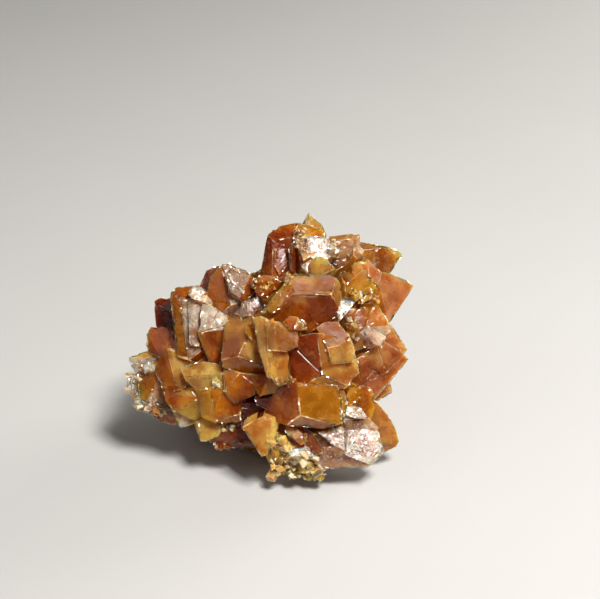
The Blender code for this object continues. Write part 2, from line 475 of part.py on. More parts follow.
def reach(around):
    """How far from the middle the cluster's back goes in a direction, in turns of a full circle."""
    place = (around % 1.0) * len(BACK_REACH)
    first = int(place)
    share = place - first
    return BACK_REACH[first] * (1.0 - share) + BACK_REACH[(first + 1) % len(BACK_REACH)] * share


def back_outline(chance, middle, size):
    """A convex outline of a few corners around a middle, kept within the cluster's reach."""
    corners = chance.choice(BACK_CORNERS)
    girth = size * chance.uniform(*BACK_GIRTH)
    spin = chance.uniform(0.0, math.tau)
    outline = []
    for corner in range(corners):
        angle = spin + math.tau * (corner + chance.uniform(-CORNER_UNEVEN, CORNER_UNEVEN)) / corners
        radius = girth * chance.uniform(*BACK_BULGE)
        point = middle + radius * Vector((math.cos(angle), math.sin(angle)))
        limit = reach(math.atan2(point.y, point.x) / math.tau)
        if point.length > limit:
            point *= limit / point.length
        outline.append(tuple(point))
    return tuple(outline[index] for index in convex_hull_2d(outline))


def back_crystals():
    """The crystals of the far side, in rings around the middle, each leaning away from it."""
    chance = random.Random(BACK_SEED)
    for ring in BACK_RINGS:
        for number in range(ring.count):
            around = (number + chance.uniform(-BACK_UNEVEN, BACK_UNEVEN)) / ring.count
            turned = math.tau * around
            away = ring.share * reach(around)
            middle = Vector((away * math.cos(turned), away * math.sin(turned)))
            outline = back_outline(chance, middle, ring.size)
            lean = BACK_LEAN * ring.share
            right, up = lean * math.cos(turned), lean * math.sin(turned)
            at = (middle.x, middle.y, ring.out + chance.uniform(-LEVEL_UNEVEN, LEVEL_UNEVEN))
            end = chance.choice((-1, 1))
            leans = (
                (right + chance.uniform(*ROOF_LEAN), up + chance.uniform(-SIDE_LEAN, SIDE_LEAN)),
                (right - chance.uniform(*ROOF_LEAN), up + chance.uniform(-SIDE_LEAN, SIDE_LEAN)),
                (right + chance.uniform(-SIDE_LEAN, SIDE_LEAN), up + end * chance.uniform(*END_LEAN)),
            )
            faces = tuple(Face(at, lean) for lean in leans)
            yield Crystal("back", outline, faces, looks=-1.0, taper=BACK_TAPER)


# The broken lump inside, which the crystals' roots stand in.
CORE = Crystal(
    "core",
    ((-21, 0), (-17, 7), (-6, 11), (5, 18), (14, 17), (21, 8), (22, -4), (20, -16), (8, -21), (-8, -16),
     (-19, -11)),
    (Face((0, -3, 8.6), (0, 16)), Face((0, -3, 8.6), (0, -16)), Face((0, -3, 8.6), (-20, 0)),
     Face((0, -3, 8.6), (14, 0))),
    taper=0.8,
    heart=Vector((1.0, -3.0, -30.0)),
)


def calcite_material():
    """Honey calcite: glossy, and part see-through."""
    material = bpy.data.materials.new("honey calcite")
    material.use_nodes = True
    surface = material.node_tree.nodes["Principled BSDF"]
    surface.inputs["Base Color"].default_value = COLOUR
    surface.inputs["Roughness"].default_value = ROUGHNESS
    surface.inputs["Metallic"].default_value = 0.0
    surface.inputs["IOR"].default_value = REFRACTION
    return material


def keep_as_guide(thing):
    """Marks an object as a helper that isn't part of the cluster."""
    thing.hide_render = True
    thing.display_type = "WIRE"


def foot_cutter():
    """The block under the foot, which takes everything below it away."""
    mesh = bmesh.new()
    bmesh.ops.create_cube(mesh, size=ROUGH_BLOCK * MM)
    bmesh.ops.translate(mesh, verts=mesh.verts, vec=(0.0, 0.0, -ROUGH_BLOCK * MM / 2))
    data = bpy.data.meshes.new("foot_cut")
    mesh.to_mesh(data)
    mesh.free()
    cutter = bpy.data.objects.new("foot_cut", data)
    bpy.context.scene.collection.objects.link(cutter)
    keep_as_guide(cutter)
    return cutter


def keep_outer_skin(mesh):
    """Fills the pockets sealed between the crystals, by keeping only the mesh's largest closed skin."""
    bmesh.ops.remove_doubles(mesh, verts=mesh.verts, dist=WELD)
    bmesh.ops.dissolve_degenerate(mesh, edges=mesh.edges, dist=WELD)
    left = set(mesh.faces)
    skins = []
    while left:
        found = [left.pop()]
        for face in found:
            beside = {near for edge in face.edges for near in edge.link_faces} & left
            left -= beside
            found.extend(beside)
        skins.append(found)
    skins.sort(key=len)
    for skin in skins[:-1]:
        bmesh.ops.delete(mesh, geom=skin, context="FACES")


def grow_together(name, body, others):
    """Joins the crystals to the body as one closed solid, and cuts its foot flat."""
    crystals = bpy.data.collections.new("crystals")
    for other in others:
        crystals.objects.link(other)
        keep_as_guide(other)
    body.name = name
    union = body.modifiers.new("grown together", "BOOLEAN")
    union.operation = "UNION"
    union.operand_type = "COLLECTION"
    union.collection = crystals
    union.solver = "EXACT"
    foot = body.modifiers.new("flat foot", "BOOLEAN")
    foot.operation = "DIFFERENCE"
    foot.object = foot_cutter()
    foot.solver = "EXACT"
    grown = bpy.data.meshes.new_from_object(body.evaluated_get(bpy.context.evaluated_depsgraph_get()))
    body.modifiers.clear()
    mesh = bmesh.new()
    mesh.from_mesh(grown)
    keep_outer_skin(mesh)
    mesh.to_mesh(grown)
    mesh.free()
    body.data = grown
    body.data.materials.append(calcite_material())


def main():
    """Builds the cluster."""
    for old in list(bpy.data.objects):
        bpy.data.objects.remove(old)
    grown = [*CROWN, *EAST, *SOUTH, *CENTRE, *WEST, *back_crystals()]
    solids = [cut_solid(crystal.name + "_crystal", crystal.planes()) for crystal in grown]
    for druse in DRUSES:
        solids += [cut_solid("rhomb", planes) for planes in druse.solids()]
    grow_together("calcite_cluster", cut_solid("core", CORE.planes()), solids)


main()
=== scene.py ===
"""Dresses the orange calcite cluster: rounded, chipped rims with a pale painted highlight, cleavage steps,
frosted faces, those that send the flash back painted white as a highlight, veils and small rhombs.

Places on the showing side are given as an eye in front of it sees them, in millimetres: across to the right,
up, and out towards the eye.
"""

import logging
import math
import random
from dataclasses import dataclass, field
from enum import Enum, IntEnum
from typing import Iterator

import bmesh
import bpy
from mathutils import Matrix, Vector, noise
from mathutils.bvhtree import BVHTree

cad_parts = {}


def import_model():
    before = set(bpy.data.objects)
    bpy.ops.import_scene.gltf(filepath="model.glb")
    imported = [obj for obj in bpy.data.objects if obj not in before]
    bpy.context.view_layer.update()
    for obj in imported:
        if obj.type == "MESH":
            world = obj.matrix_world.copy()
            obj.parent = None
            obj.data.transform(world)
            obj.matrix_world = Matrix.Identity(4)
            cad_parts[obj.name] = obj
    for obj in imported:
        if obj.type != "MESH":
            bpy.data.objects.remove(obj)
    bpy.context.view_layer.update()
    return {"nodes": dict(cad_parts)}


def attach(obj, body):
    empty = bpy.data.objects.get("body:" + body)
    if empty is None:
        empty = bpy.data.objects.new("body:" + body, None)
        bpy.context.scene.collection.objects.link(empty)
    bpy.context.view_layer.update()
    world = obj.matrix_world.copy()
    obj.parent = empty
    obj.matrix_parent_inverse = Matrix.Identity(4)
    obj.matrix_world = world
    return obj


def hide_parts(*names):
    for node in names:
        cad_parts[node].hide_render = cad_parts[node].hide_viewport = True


LOG = logging.getLogger("calcite")
Socket = bpy.types.NodeSocket
Span = tuple[float, float]
Triple = tuple[float, float, float]
Colour = tuple[float, float, float, float]
MM = 0.001
NODE = "calcite_cluster"
BODY = "root"


@dataclass(frozen=True)
class Showing:
    """The axes of the showing side, which leans back on the cluster's foot, and the eye in front of it."""

    lean: float = math.radians(30.0)
    foot_across: float = 0.015
    foot_up: float = 1.355
    foot_depth: float = 21.4
    eye_away: float = 297.5
    eye_across: float = 6.3
    eye_up: float = 9.8
    flash_across: float = 0.181
    flash_up: float = 0.320
    flash_out: float = 0.930

    def direction(self, across: float, up: float, out: float) -> Vector:
        """The world's direction of a direction on the showing side.

        Args:
            across: Its share to the right.
            up: Its share upwards.
            out: Its share towards the eye.

        Returns:
            The same direction in the world, of length one.
        """
        sine, cosine = math.sin(self.lean), math.cos(self.lean)
        return Vector((across, sine * up - cosine * out, cosine * up + sine * out)).normalized()

    def place(self, across: float, up: float, out: float) -> Vector:
        """The world's point of a point on the showing side.

        Args:
            across: Millimetres to the right.
            up: Millimetres upwards.
            out: Millimetres towards the eye.

        Returns:
            The point in metres.
        """
        sine, cosine = math.sin(self.lean), math.cos(self.lean)
        back = sine * up - cosine * out - self.foot_up
        high = cosine * up + sine * out + self.foot_depth
        return Vector((across - self.foot_across, back, high)) * MM

    def seen(self, point: Vector) -> Vector:
        """Where the eye sees a point of the world.

        Args:
            point: The point in metres.

        Returns:
            Across, up and out, in millimetres, the first two as seen.
        """
        sine, cosine = math.sin(self.lean), math.cos(self.lean)
        back = point.y / MM + self.foot_up
        high = point.z / MM - self.foot_depth
        out = sine * high - cosine * back
        nearer = 1.0 / (1.0 - out / self.eye_away)
        across = point.x / MM + self.foot_across - self.eye_across
        up = sine * back + cosine * high - self.eye_up
        return Vector((self.eye_across + across * nearer, self.eye_up + up * nearer, out))

    def eye(self) -> Vector:
        """The eye's point in the world."""
        return self.place(self.eye_across, self.eye_up, self.eye_away)

    def flash(self) -> Vector:
        """The way a face points when it sends the key lamp's light to the eye."""
        return self.direction(self.flash_across, self.flash_up, self.flash_out)


SHOWING = Showing()


@dataclass(frozen=True)
class Stone:
    """A tone of the stone: its colour, how clear it is, how frosted and how dull."""

    colour: Triple
    clear: float
    frost: float = 0.0
    dull: float = 0.0


class Tone(Enum):
    """The named tones of the cluster."""

    EMBER = Stone((0.17, 0.016, 0.001), 0.5)
    RUSSET = Stone((0.44, 0.095, 0.001), 0.40)
    AMBER = Stone((0.56, 0.180, 0.002), 0.38)
    HONEY = Stone((0.60, 0.26, 0.014), 0.40)
    GOLD = Stone((0.68, 0.36, 0.06), 0.36)
    SUN = Stone((0.82, 0.47, 0.08), 0.32)
    ROSE = Stone((0.56, 0.23, 0.07), 0.34)
    BLUSH = Stone((0.56, 0.36, 0.20), 0.25, 0.5)
    CREAM = Stone((0.64, 0.44, 0.18), 0.25, 0.4)
    UMBER = Stone((0.40, 0.16, 0.02), 0.40)
    VEILED = Stone((0.60, 0.27, 0.02), 0.35, dull=0.7)
    PEACH = Stone((0.46, 0.22, 0.06), 0.40)
    LILAC = Stone((0.34, 0.18, 0.09), 0.30, 0.3)
    WHITE = Stone((0.64, 0.52, 0.36), 0.2, 1.0)


@dataclass(frozen=True)
class Patch:
    """A part of the showing side that has a tone of its own."""

    across: float
    up: float
    wide: float
    high: float
    tone: Tone

    def holds(self, spot: Vector) -> bool:
        """Whether a seen spot is inside the patch."""
        return abs(spot.x - self.across) <= self.wide / 2 and abs(spot.y - self.up) <= self.high / 2


# A face takes the tone of the first patch that holds its middle, so a small patch stands before a larger one.
PATCHES = (
    Patch(24.5, 4.6, 1.4, 1.4, Tone.WHITE),
    # Pale frosted patch where a face sends the flash back: its frost with a painted highlight.
    Patch(-25.4, -4.4, 3.4, 2.6, Tone.WHITE),
    # Pale frosted patch where a face sends the flash back: its frost with a painted highlight.
    Patch(15.8, 7.6, 4.0, 4.8, Tone.WHITE),
    Patch(14.0, 3.4, 8.6, 4.4, Tone.VEILED),
    # Pale frosted patch where a face sends the flash back: its frost with a painted highlight.
    Patch(18.0, -14.0, 4.6, 2.6, Tone.WHITE),
    # Pale frosted patch where a face sends the flash back: its frost with a painted highlight.
    Patch(-15.3, 11.2, 3.8, 3.0, Tone.BLUSH),
    Patch(-7.3, 13.2, 3.8, 4.2, Tone.LILAC),
    # Two pale frosted patches where faces send the flash back: their frost with a painted highlight.
    Patch(-16.1, 4.8, 2.6, 10.6, Tone.BLUSH),
    Patch(-12.9, 5.8, 4.6, 6.6, Tone.BLUSH),
    Patch(-4.6, 8.8, 6.6, 5.4, Tone.LILAC),
    Patch(-22.3, 6.4, 4.6, 8.0, Tone.EMBER),
    Patch(-23.8, 1.6, 4.4, 5.2, Tone.RUSSET),
    Patch(-12.6, 14.6, 4.4, 6.0, Tone.EMBER),
    Patch(-9.0, 12.6, 7.4, 9.4, Tone.RUSSET),
    Patch(-11.8, 1.4, 5.4, 9.8, Tone.RUSSET),
    Patch(-18.2, 4.4, 6.0, 16.0, Tone.AMBER),
    Patch(0.2, 18.2, 7.0, 13.6, Tone.RUSSET),
    Patch(2.6, 19.2, 3.4, 6.4, Tone.LILAC),
    Patch(4.8, 18.4, 2.6, 6.0, Tone.RUSSET),
    Patch(8.6, 25.0, 6.4, 4.4, Tone.HONEY),
    # Pale frosted patch where faces send the flash back: their frost with a painted highlight.
    Patch(9.4, 22.0, 8.0, 6.6, Tone.CREAM),
    Patch(10.6, 16.6, 6.4, 4.6, Tone.GOLD),
    Patch(16.2, 21.0, 7.2, 6.4, Tone.PEACH),
    Patch(24.0, 18.6, 8.6, 7.4, Tone.ROSE),
    Patch(19.8, 15.0, 8.4, 7.4, Tone.HONEY),
    Patch(26.4, 10.0, 8.4, 11.6, Tone.ROSE),
    Patch(22.0, 2.2, 6.0, 4.6, Tone.BLUSH),
    Patch(20.4, 5.6, 9.6, 8.6, Tone.AMBER),
    Patch(24.0, -4.6, 10.6, 14.0, Tone.ROSE),
    Patch(24.6, -17.6, 6.0, 10.6, Tone.UMBER),
    Patch(19.4, -12.4, 8.0, 9.0, Tone.AMBER),
    # Pale frosted patch where a face sends the flash back: its frost with a painted highlight.
    Patch(20.0, -20.8, 8.6, 8.8, Tone.BLUSH),
    Patch(13.2, -18.8, 6.0, 4.8, Tone.LILAC),
    Patch(13.0, -23.4, 10.0, 4.6, Tone.BLUSH),
    Patch(7.2, -22.8, 6.8, 3.8, Tone.CREAM),
    Patch(6.6, -18.6, 8.0, 5.4, Tone.ROSE),
    Patch(5.4, -24.6, 12.0, 7.0, Tone.HONEY),
    Patch(-2.2, -18.8, 8.2, 9.0, Tone.SUN),
    # Very dark ember in the niche: the stone's deep red with painted shade, where the niche lies in shadow.
    Patch(-1.4, -12.6, 6.0, 4.4, Tone.EMBER),
    Patch(3.2, -12.2, 6.4, 7.6, Tone.RUSSET),
    Patch(9.6, -12.6, 10.0, 9.0, Tone.AMBER),
    Patch(6.8, -2.6, 6.0, 11.0, Tone.RUSSET),
    Patch(13.4, 1.6, 8.6, 8.6, Tone.GOLD),
    Patch(13.4, -4.6, 9.0, 8.0, Tone.HONEY),
    Patch(8.8, 7.6, 13.0, 5.2, Tone.RUSSET),
    Patch(9.6, 12.6, 10.6, 5.2, Tone.VEILED),
    Patch(1.8, 10.4, 7.0, 7.6, Tone.HONEY),
    Patch(-0.6, 12.6, 7.6, 5.4, Tone.RUSSET),
    Patch(2.4, 2.4, 8.4, 7.6, Tone.GOLD),
    Patch(-1.6, 2.4, 4.0, 9.6, Tone.GOLD),
    Patch(1.6, -4.4, 6.6, 8.0, Tone.SUN),
    Patch(-5.4, 0.6, 9.8, 11.8, Tone.HONEY),
    Patch(-3.2, -8.6, 12.6, 6.6, Tone.AMBER),
    Patch(-25.8, -11.6, 6.8, 4.6, Tone.CREAM),
    Patch(-29.0, -8.0, 2.6, 5.6, Tone.CREAM),
    Patch(-20.0, -14.8, 2.8, 4.6, Tone.CREAM),
    Patch(-25.6, -8.0, 6.0, 6.0, Tone.HONEY),
    Patch(-26.0, -2.4, 8.0, 4.4, Tone.GOLD),
    Patch(-14.2, -6.0, 9.4, 6.6, Tone.GOLD),
    Patch(-10.6, -12.0, 9.6, 8.6, Tone.HONEY),
    Patch(-19.0, -6.0, 9.4, 16.6, Tone.AMBER),
    Patch(-13.0, -17.4, 5.6, 5.6, Tone.GOLD),
    Patch(-7.6, -19.0, 11.0, 5.2, Tone.RUSSET),
)

# The tones of the crystals of the sides and the back, each with its share.
OTHER_TONES = (
    (Tone.AMBER, 5),
    (Tone.HONEY, 5),
    (Tone.ROSE, 3),
    (Tone.RUSSET, 3),
    (Tone.GOLD, 2),
    (Tone.BLUSH, 1),
    (Tone.CREAM, 1),
    (Tone.EMBER, 1),
)


class FaceKind(IntEnum):
    """Which finish a face of the skin has: its number among the skin's materials."""

    BODY = 0
    RIM = 1
    VEILED = 2


@dataclass(frozen=True)
class Cloud:
    """A cloudy noise, and the smooth rise that is read from it."""

    scale: float
    detail: float
    low: float
    high: float
    start: float = 0.0
    end: float = 1.0
    warp: float = 0.0


class Sheet:
    """A node tree that is being written."""

    def __init__(self, name: str) -> None:
        """Starts a material's tree with the output and its surface shader.

        Args:
            name: The material's name.
        """
        self.material = bpy.data.materials.new(name)
        self.material.use_nodes = True
        self.tree = self.material.node_tree
        self.surface = self.tree.nodes["Principled BSDF"]
        self.output = self.tree.nodes["Material Output"]

    def node(self, kind: str, values: dict | None = None, **settings: object) -> bpy.types.Node:
        """Adds a node.

        Args:
            kind: Its type, without the leading word that all shader nodes share.
            values: Its inputs by name or number: a socket to link, or a value.
            settings: Its own properties.

        Returns:
            The node.
        """
        made = self.tree.nodes.new("ShaderNode" + kind)
        for name, setting in settings.items():
            setattr(made, name, setting)
        for name, value in (values or {}).items():
            self.feed(made.inputs[name], value)
        return made

    def feed(self, socket: Socket, value: object) -> None:
        """Links an input to another node's output, or sets its value.

        Args:
            socket: The input.
            value: The output to link, or a value.
        """
        if isinstance(value, Socket):
            self.tree.links.new(value, socket)
        else:
            socket.default_value = value

    def sum(self, kind: str, first: object, second: object, clamp: bool = False) -> Socket:
        """The result of a sum on two numbers."""
        return self.node("Math", {0: first, 1: second}, operation=kind, use_clamp=clamp).outputs[0]

    def vector(self, kind: str, values: dict) -> Socket:
        """The result of a sum on vectors."""
        return self.node("VectorMath", values, operation=kind).outputs[0]

    def ramp(
        self, value: object, low: float, high: float, start: float = 0.0, end: float = 1.0
    ) -> Socket:
        """A smooth rise from start to end as a value goes from low to high."""
        values = {0: value, 1: low, 2: high, 3: start, 4: end}
        return self.node("MapRange", values, interpolation_type="SMOOTHSTEP").outputs[0]

    def blend(self, share: object, first: object, second: object, kind: str = "MIX") -> Socket:
        """Mixes two colours.

        Args:
            share: The second one's share.
            first: The first colour.
            second: The second colour.
            kind: How they are mixed.

        Returns:
            The mixed colour.
        """
        made = self.node("Mix", data_type="RGBA", blend_type=kind)
        for socket, value in ((made.inputs[0], share), (made.inputs[6], first), (made.inputs[7], second)):
            self.feed(socket, value)
        return made.outputs[2]

    def noise(self, where: object, scale: float, detail: float, warp: float = 0.0) -> Socket:
        """Cloudy noise, with its scale in waves to the metre."""
        values = {"Vector": where, "Scale": scale, "Detail": detail, "Distortion": warp}
        return self.node("TexNoise", values).outputs[0]

    def cloud(self, where: object, cloud: Cloud) -> Socket:
        """The smooth rise that is read from a cloudy noise."""
        value = self.noise(where, cloud.scale, cloud.detail, cloud.warp)
        return self.ramp(value, cloud.low, cloud.high, cloud.start, cloud.end)

    def cell_edges(self, where: object, scale: float, width: float) -> Socket:
        """Thin lines between cells: one on a line, and nought a width away from it."""
        cells = self.node("TexVoronoi", {"Vector": where, "Scale": scale}, feature="DISTANCE_TO_EDGE")
        return self.ramp(cells.outputs[0], 0.0, width, 1.0, 0.0)


@dataclass(frozen=True)
class CalciteFinish:
    """The stone's finish: a glossy, part see-through body with clouds, veils, growth lines and frosted faces,
    painted sparkle in the frost, and a pale cast where paleness is set.

    Lengths are in metres, and scales in waves or cells to the metre. Each face brings its own colour in the
    attribute "stone", and its frost, clearness, turn of the pattern and dullness in the attribute "traits".
    """

    name: str
    refraction: float = 1.6
    shine: float = 0.22
    glow_depth: float = 0.006
    glow_colour: Triple = (1.0, 0.55, 0.3)
    absorb_colour: Colour = (0.985, 0.66, 0.12, 1.0)
    absorb: float = 160.0

    clouds: Cloud = Cloud(120.0, 5.0, 0.38, 0.62, warp=0.3)
    deep_cast: Colour = (0.46, 0.27, 0.15, 1.0)
    lit_cast: Colour = (0.92, 0.96, 1.1, 1.0)
    fine_noise: Triple = (460.0, 6.0, 0.2)
    mottle: Span = (0.36, 0.64)
    mottle_red: Span = (0.90, 1.08)
    mottle_rest: Span = (0.82, 1.14)

    milk: Cloud = Cloud(150.0, 6.0, 0.54, 0.80, warp=0.2)
    milk_share: float = 0.5
    milk_colour: Colour = (0.62, 0.36, 0.10, 1.0)
    veiled: Cloud = Cloud(95.0, 2.0, 0.48, 0.66)
    veil_scale: float = 170.0
    veil_width: float = 0.04
    veil_share: float = 0.1
    drift_scale: float = 180.0
    drift_detail: float = 2.0
    drift: float = 0.006

    ragged: Cloud = Cloud(640.0, 5.0, 0.40, 0.58, warp=0.8)
    # Painted sparkle: pale grains mixed into the colour where it is frosted, standing in for the frost's
    # glints.
    sparkle: Cloud = Cloud(3600.0, 3.0, 0.47, 0.62)
    sparkle_share: float = 0.75
    sparkle_colour: Colour = (0.88, 0.86, 0.79, 1.0)
    # Pale cast from a cloud, as strong as paleness: a painted highlight on the rims and flakes, the small
    # crystals' own cream colour.
    pale_and_sheen_cloud: Cloud = Cloud(230.0, 4.0, 0.46, 0.60, 0.1, 1.7)
    paleness: float = 0.0
    pale_and_sheen_colour: Colour = (0.90, 0.60, 0.26, 1.0)

    gloss: float = 0.15
    fine_rough: Colour = (0.40, 0.66, 0.0, 0.25)
    frost_rough: float = 0.12
    dull_rough: float = 0.4

    turn_axis: Triple = (0.36, 0.48, 0.8)
    line_scale: float = 520.0
    line_sway: float = 1.2
    line_detail: float = 4.0
    line_detail_scale: float = 2.5
    lined: Cloud = Cloud(210.0, 2.0, 0.50, 0.66, 0.0, 0.6)
    slit_shape: Triple = (1.0, 0.3, 1.0)
    slit_scale: float = 330.0
    slit_width: float = 0.03
    fine_height: float = 0.25
    bump_strength: float = 0.5
    bump_height: float = 0.00009

    facet_shape: Triple = (1.0, 0.55, 1.0)
    plate_scale: float = 420.0
    plate_tilt: float = 0.10
    frosted_plates: float = 0.8
    grain_scale: float = 2300.0
    grain_tilt: float = 0.65
    least_tilt: float = 0.06

    def make(self) -> bpy.types.Material:
        """Writes the material: body colour, gloss, clearness, broken-up surface, inner glow and absorption.

        Returns:
            The material.
        """
        sheet = Sheet(self.name)
        where = sheet.node("TexCoord").outputs["Object"]
        traits = sheet.node("Attribute", attribute_name="traits").outputs
        split = sheet.node("SeparateColor", {0: traits["Color"]})
        frost, clear, turn = split.outputs[0], split.outputs[1], split.outputs[2]
        fine = sheet.noise(where, *self.fine_noise)
        pale = self.pale_share(sheet, where)
        frosted = sheet.sum("MULTIPLY", frost, sheet.cloud(where, self.ragged))

        inputs = sheet.surface.inputs
        body = self.stone_colour(sheet, where, fine)
        body = sheet.blend(pale, body, self.milk_colour)
        sheet.feed(inputs["Base Color"], self.aged_colour(sheet, where, body, frosted))
        sheet.feed(inputs["Roughness"], self.roughness(sheet, fine, frosted, traits["Alpha"]))
        open_share = sheet.sum("SUBTRACT", 1.0, pale)
        sheet.feed(inputs["Transmission Weight"], sheet.sum("MULTIPLY", clear, open_share))

        angle = sheet.sum("MULTIPLY", turn, math.tau)
        values = {"Vector": where, "Axis": self.turn_axis, "Angle": angle}
        turned = sheet.node("VectorRotate", values).outputs[0]
        height = self.relief(sheet, where, turned, fine)
        sheet.feed(inputs["Normal"], self.broken_normal(sheet, turned, height, frost, frosted))

        inputs["IOR"].default_value = self.refraction
        inputs["Specular IOR Level"].default_value = self.shine
        inputs["Subsurface Weight"].default_value = 1.0
        inputs["Subsurface Radius"].default_value = self.glow_colour
        inputs["Subsurface Scale"].default_value = self.glow_depth
        absorption = sheet.node("VolumeAbsorption", {"Color": self.absorb_colour, "Density": self.absorb})
        sheet.feed(sheet.output.inputs["Volume"], absorption.outputs[0])
        return sheet.material

    def stone_colour(
        self, sheet: Sheet, where: Socket, fine: Socket
    ) -> Socket:
        """The stone's own colour, deep and lit in clouds, and finely mottled.

        Args:
            sheet: The material's tree.
            where: The place.
            fine: The fine noise.

        Returns:
            The colour.
        """
        stone = sheet.node("Attribute", attribute_name="stone").outputs["Color"]
        deep = sheet.blend(1.0, stone, self.deep_cast, "MULTIPLY")
        lit = sheet.blend(1.0, stone, self.lit_cast, "MULTIPLY")
        clouded = sheet.blend(sheet.cloud(where, self.clouds), deep, lit)
        red = sheet.ramp(fine, *self.mottle, *self.mottle_red)
        rest = sheet.ramp(fine, *self.mottle, *self.mottle_rest)
        mottled = sheet.node("CombineColor", {0: red, 1: rest, 2: rest}).outputs[0]
        return sheet.blend(1.0, clouded, mottled, "MULTIPLY")

    def pale_share(self, sheet: Sheet, where: Socket) -> Socket:
        """How far thin veils and milky clouds hide the stone.

        Args:
            sheet: The material's tree.
            where: The place.

        Returns:
            The share.
        """
        values = {"Vector": where, "Scale": self.drift_scale, "Detail": self.drift_detail}
        drift = sheet.node("TexNoise", values).outputs[1]
        drifted = sheet.vector("ADD", {0: where, 1: sheet.vector("SCALE", {0: drift, 3: self.drift})})
        veil = sheet.cell_edges(drifted, self.veil_scale, self.veil_width)
        veil = sheet.sum("MULTIPLY", veil, sheet.cloud(where, self.veiled))
        veil = sheet.sum("MULTIPLY", veil, self.veil_share)
        milk = sheet.sum("MULTIPLY", sheet.cloud(where, self.milk), self.milk_share)
        return sheet.sum("MAXIMUM", veil, milk)

    def aged_colour(
        self, sheet: Sheet, where: Socket, body: Socket, frosted: Socket
    ) -> Socket:
        """The colour with its painted sparkle in the frost, and its pale cast: a painted highlight on the
        rims and flakes, the small crystals' own cream.

        Args:
            sheet: The material's tree.
            where: The place.
            body: The colour without them.
            frosted: How frosted the place is.

        Returns:
            The colour.
        """
        # Pale grains in the frosted parts: painted sparkle.
        sparkle = sheet.sum("MULTIPLY", sheet.cloud(where, self.sparkle), frosted)
        body = sheet.blend(sheet.sum("MULTIPLY", sparkle, self.sparkle_share), body, self.sparkle_colour)
        worn_pale_sheen = sheet.sum("MULTIPLY", sheet.cloud(where, self.pale_and_sheen_cloud), self.paleness, clamp=True)
        return sheet.blend(worn_pale_sheen, body, self.pale_and_sheen_colour)

    def roughness(
        self, sheet: Sheet, fine: Socket, frosted: Socket, dull: Socket
    ) -> Socket:
        """How rough the surface is: unevenly glossy, and rougher where it is frosted or dull.

        Args:
            sheet: The material's tree.
            fine: The fine noise.
            frosted: How frosted the place is.
            dull: How dull the face is.

        Returns:
            The roughness.
        """
        rough = sheet.sum("ADD", self.gloss, sheet.ramp(fine, *self.fine_rough))
        rough = sheet.sum("ADD", rough, sheet.sum("MULTIPLY", frosted, self.frost_rough))
        return sheet.sum("ADD", rough, sheet.sum("MULTIPLY", dull, self.dull_rough), clamp=True)

    def relief(
        self, sheet: Sheet, where: Socket, turned: Socket, fine: Socket
    ) -> Socket:
        """The height of the growth lines and of the slits between them, which come and go.

        Args:
            sheet: The material's tree.
            where: The place.
            turned: The place, turned each crystal's own way.
            fine: The fine noise.

        Returns:
            The height.
        """
        values = {
            "Vector": turned,
            "Scale": self.line_scale,
            "Distortion": self.line_sway,
            "Detail": self.line_detail,
            "Detail Scale": self.line_detail_scale,
        }
        lines = sheet.node("TexWave", values).outputs[1]
        lined = sheet.cloud(where, self.lined)
        narrowed = sheet.vector("MULTIPLY", {0: turned, 1: self.slit_shape})
        slits = sheet.cell_edges(narrowed, self.slit_scale, self.slit_width)
        height = sheet.sum("MULTIPLY", lines, lined)
        height = sheet.sum("SUBTRACT", height, sheet.sum("MULTIPLY", slits, lined))
        return sheet.sum("ADD", height, sheet.sum("MULTIPLY", fine, self.fine_height))

    def broken_normal(
        self,
        sheet: Sheet,
        turned: Socket,
        height: Socket,
        frost: Socket,
        frosted: Socket,
    ) -> Socket:
        """The way out of the surface, with its relief, its large plates and its small grains.

        Args:
            sheet: The material's tree.
            turned: The place, turned each crystal's own way.
            height: The height of the relief.
            frost: How frosted the face is.
            frosted: How frosted the place is.

        Returns:
            The way out.
        """
        values = {"Strength": self.bump_strength, "Distance": self.bump_height, "Height": height}
        normal = sheet.node("Bump", values).outputs[0]
        smooth = sheet.sum("SUBTRACT", 1.0, sheet.sum("MULTIPLY", frost, self.frosted_plates))
        tilt = sheet.sum("MULTIPLY", smooth, self.plate_tilt)
        normal = self.facets(sheet, turned, normal, self.plate_scale, tilt)
        tilt = sheet.sum("ADD", sheet.sum("MULTIPLY", frosted, self.grain_tilt), self.least_tilt)
        return self.facets(sheet, turned, normal, self.grain_scale, tilt)

    def facets(
        self,
        sheet: Sheet,
        turned: Socket,
        normal: Socket,
        scale: float,
        tilt: Socket,
    ) -> Socket:
        """Breaks a surface up into small flat facets that lean a little each its own way.

        Args:
            sheet: The material's tree.
            turned: The place, turned each crystal's own way.
            normal: The way out of the surface.
            scale: How many facets go to the metre.
            tilt: How far they lean.

        Returns:
            The way out of the broken-up surface.
        """
        stretched = sheet.vector("MULTIPLY", {0: turned, 1: self.facet_shape})
        cells = sheet.node("TexVoronoi", {"Vector": stretched, "Scale": scale})
        lean = sheet.vector("SUBTRACT", {0: cells.outputs[1], 1: (0.5, 0.5, 0.5)})
        lean = sheet.vector("SCALE", {0: lean, 3: tilt})
        return sheet.vector("NORMALIZE", {0: sheet.vector("ADD", {0: normal, 1: lean})})


# Light of all colours reaches nearly as deep in thin parts, which would get coloured edges otherwise.
THIN_GLOW = (1.0, 0.95, 0.9)
HONEY_CALCITE = CalciteFinish("honey calcite")
VEILED_CALCITE = CalciteFinish("veiled calcite", shine=0.04)
# The rims' pale cast is a painted highlight along the rounded, chipped edges.
WORN_RIM_SHEEN = CalciteFinish("worn rim", paleness=0.5, gloss=0.2, glow_depth=0.001, glow_colour=THIN_GLOW)
SMALL_CALCITE = CalciteFinish(
    "small calcite",
    shine=0.35,
    paleness=0.3,
    gloss=0.14,
    glow_depth=0.002,
    glow_colour=THIN_GLOW,
    plate_tilt=0.0,
)
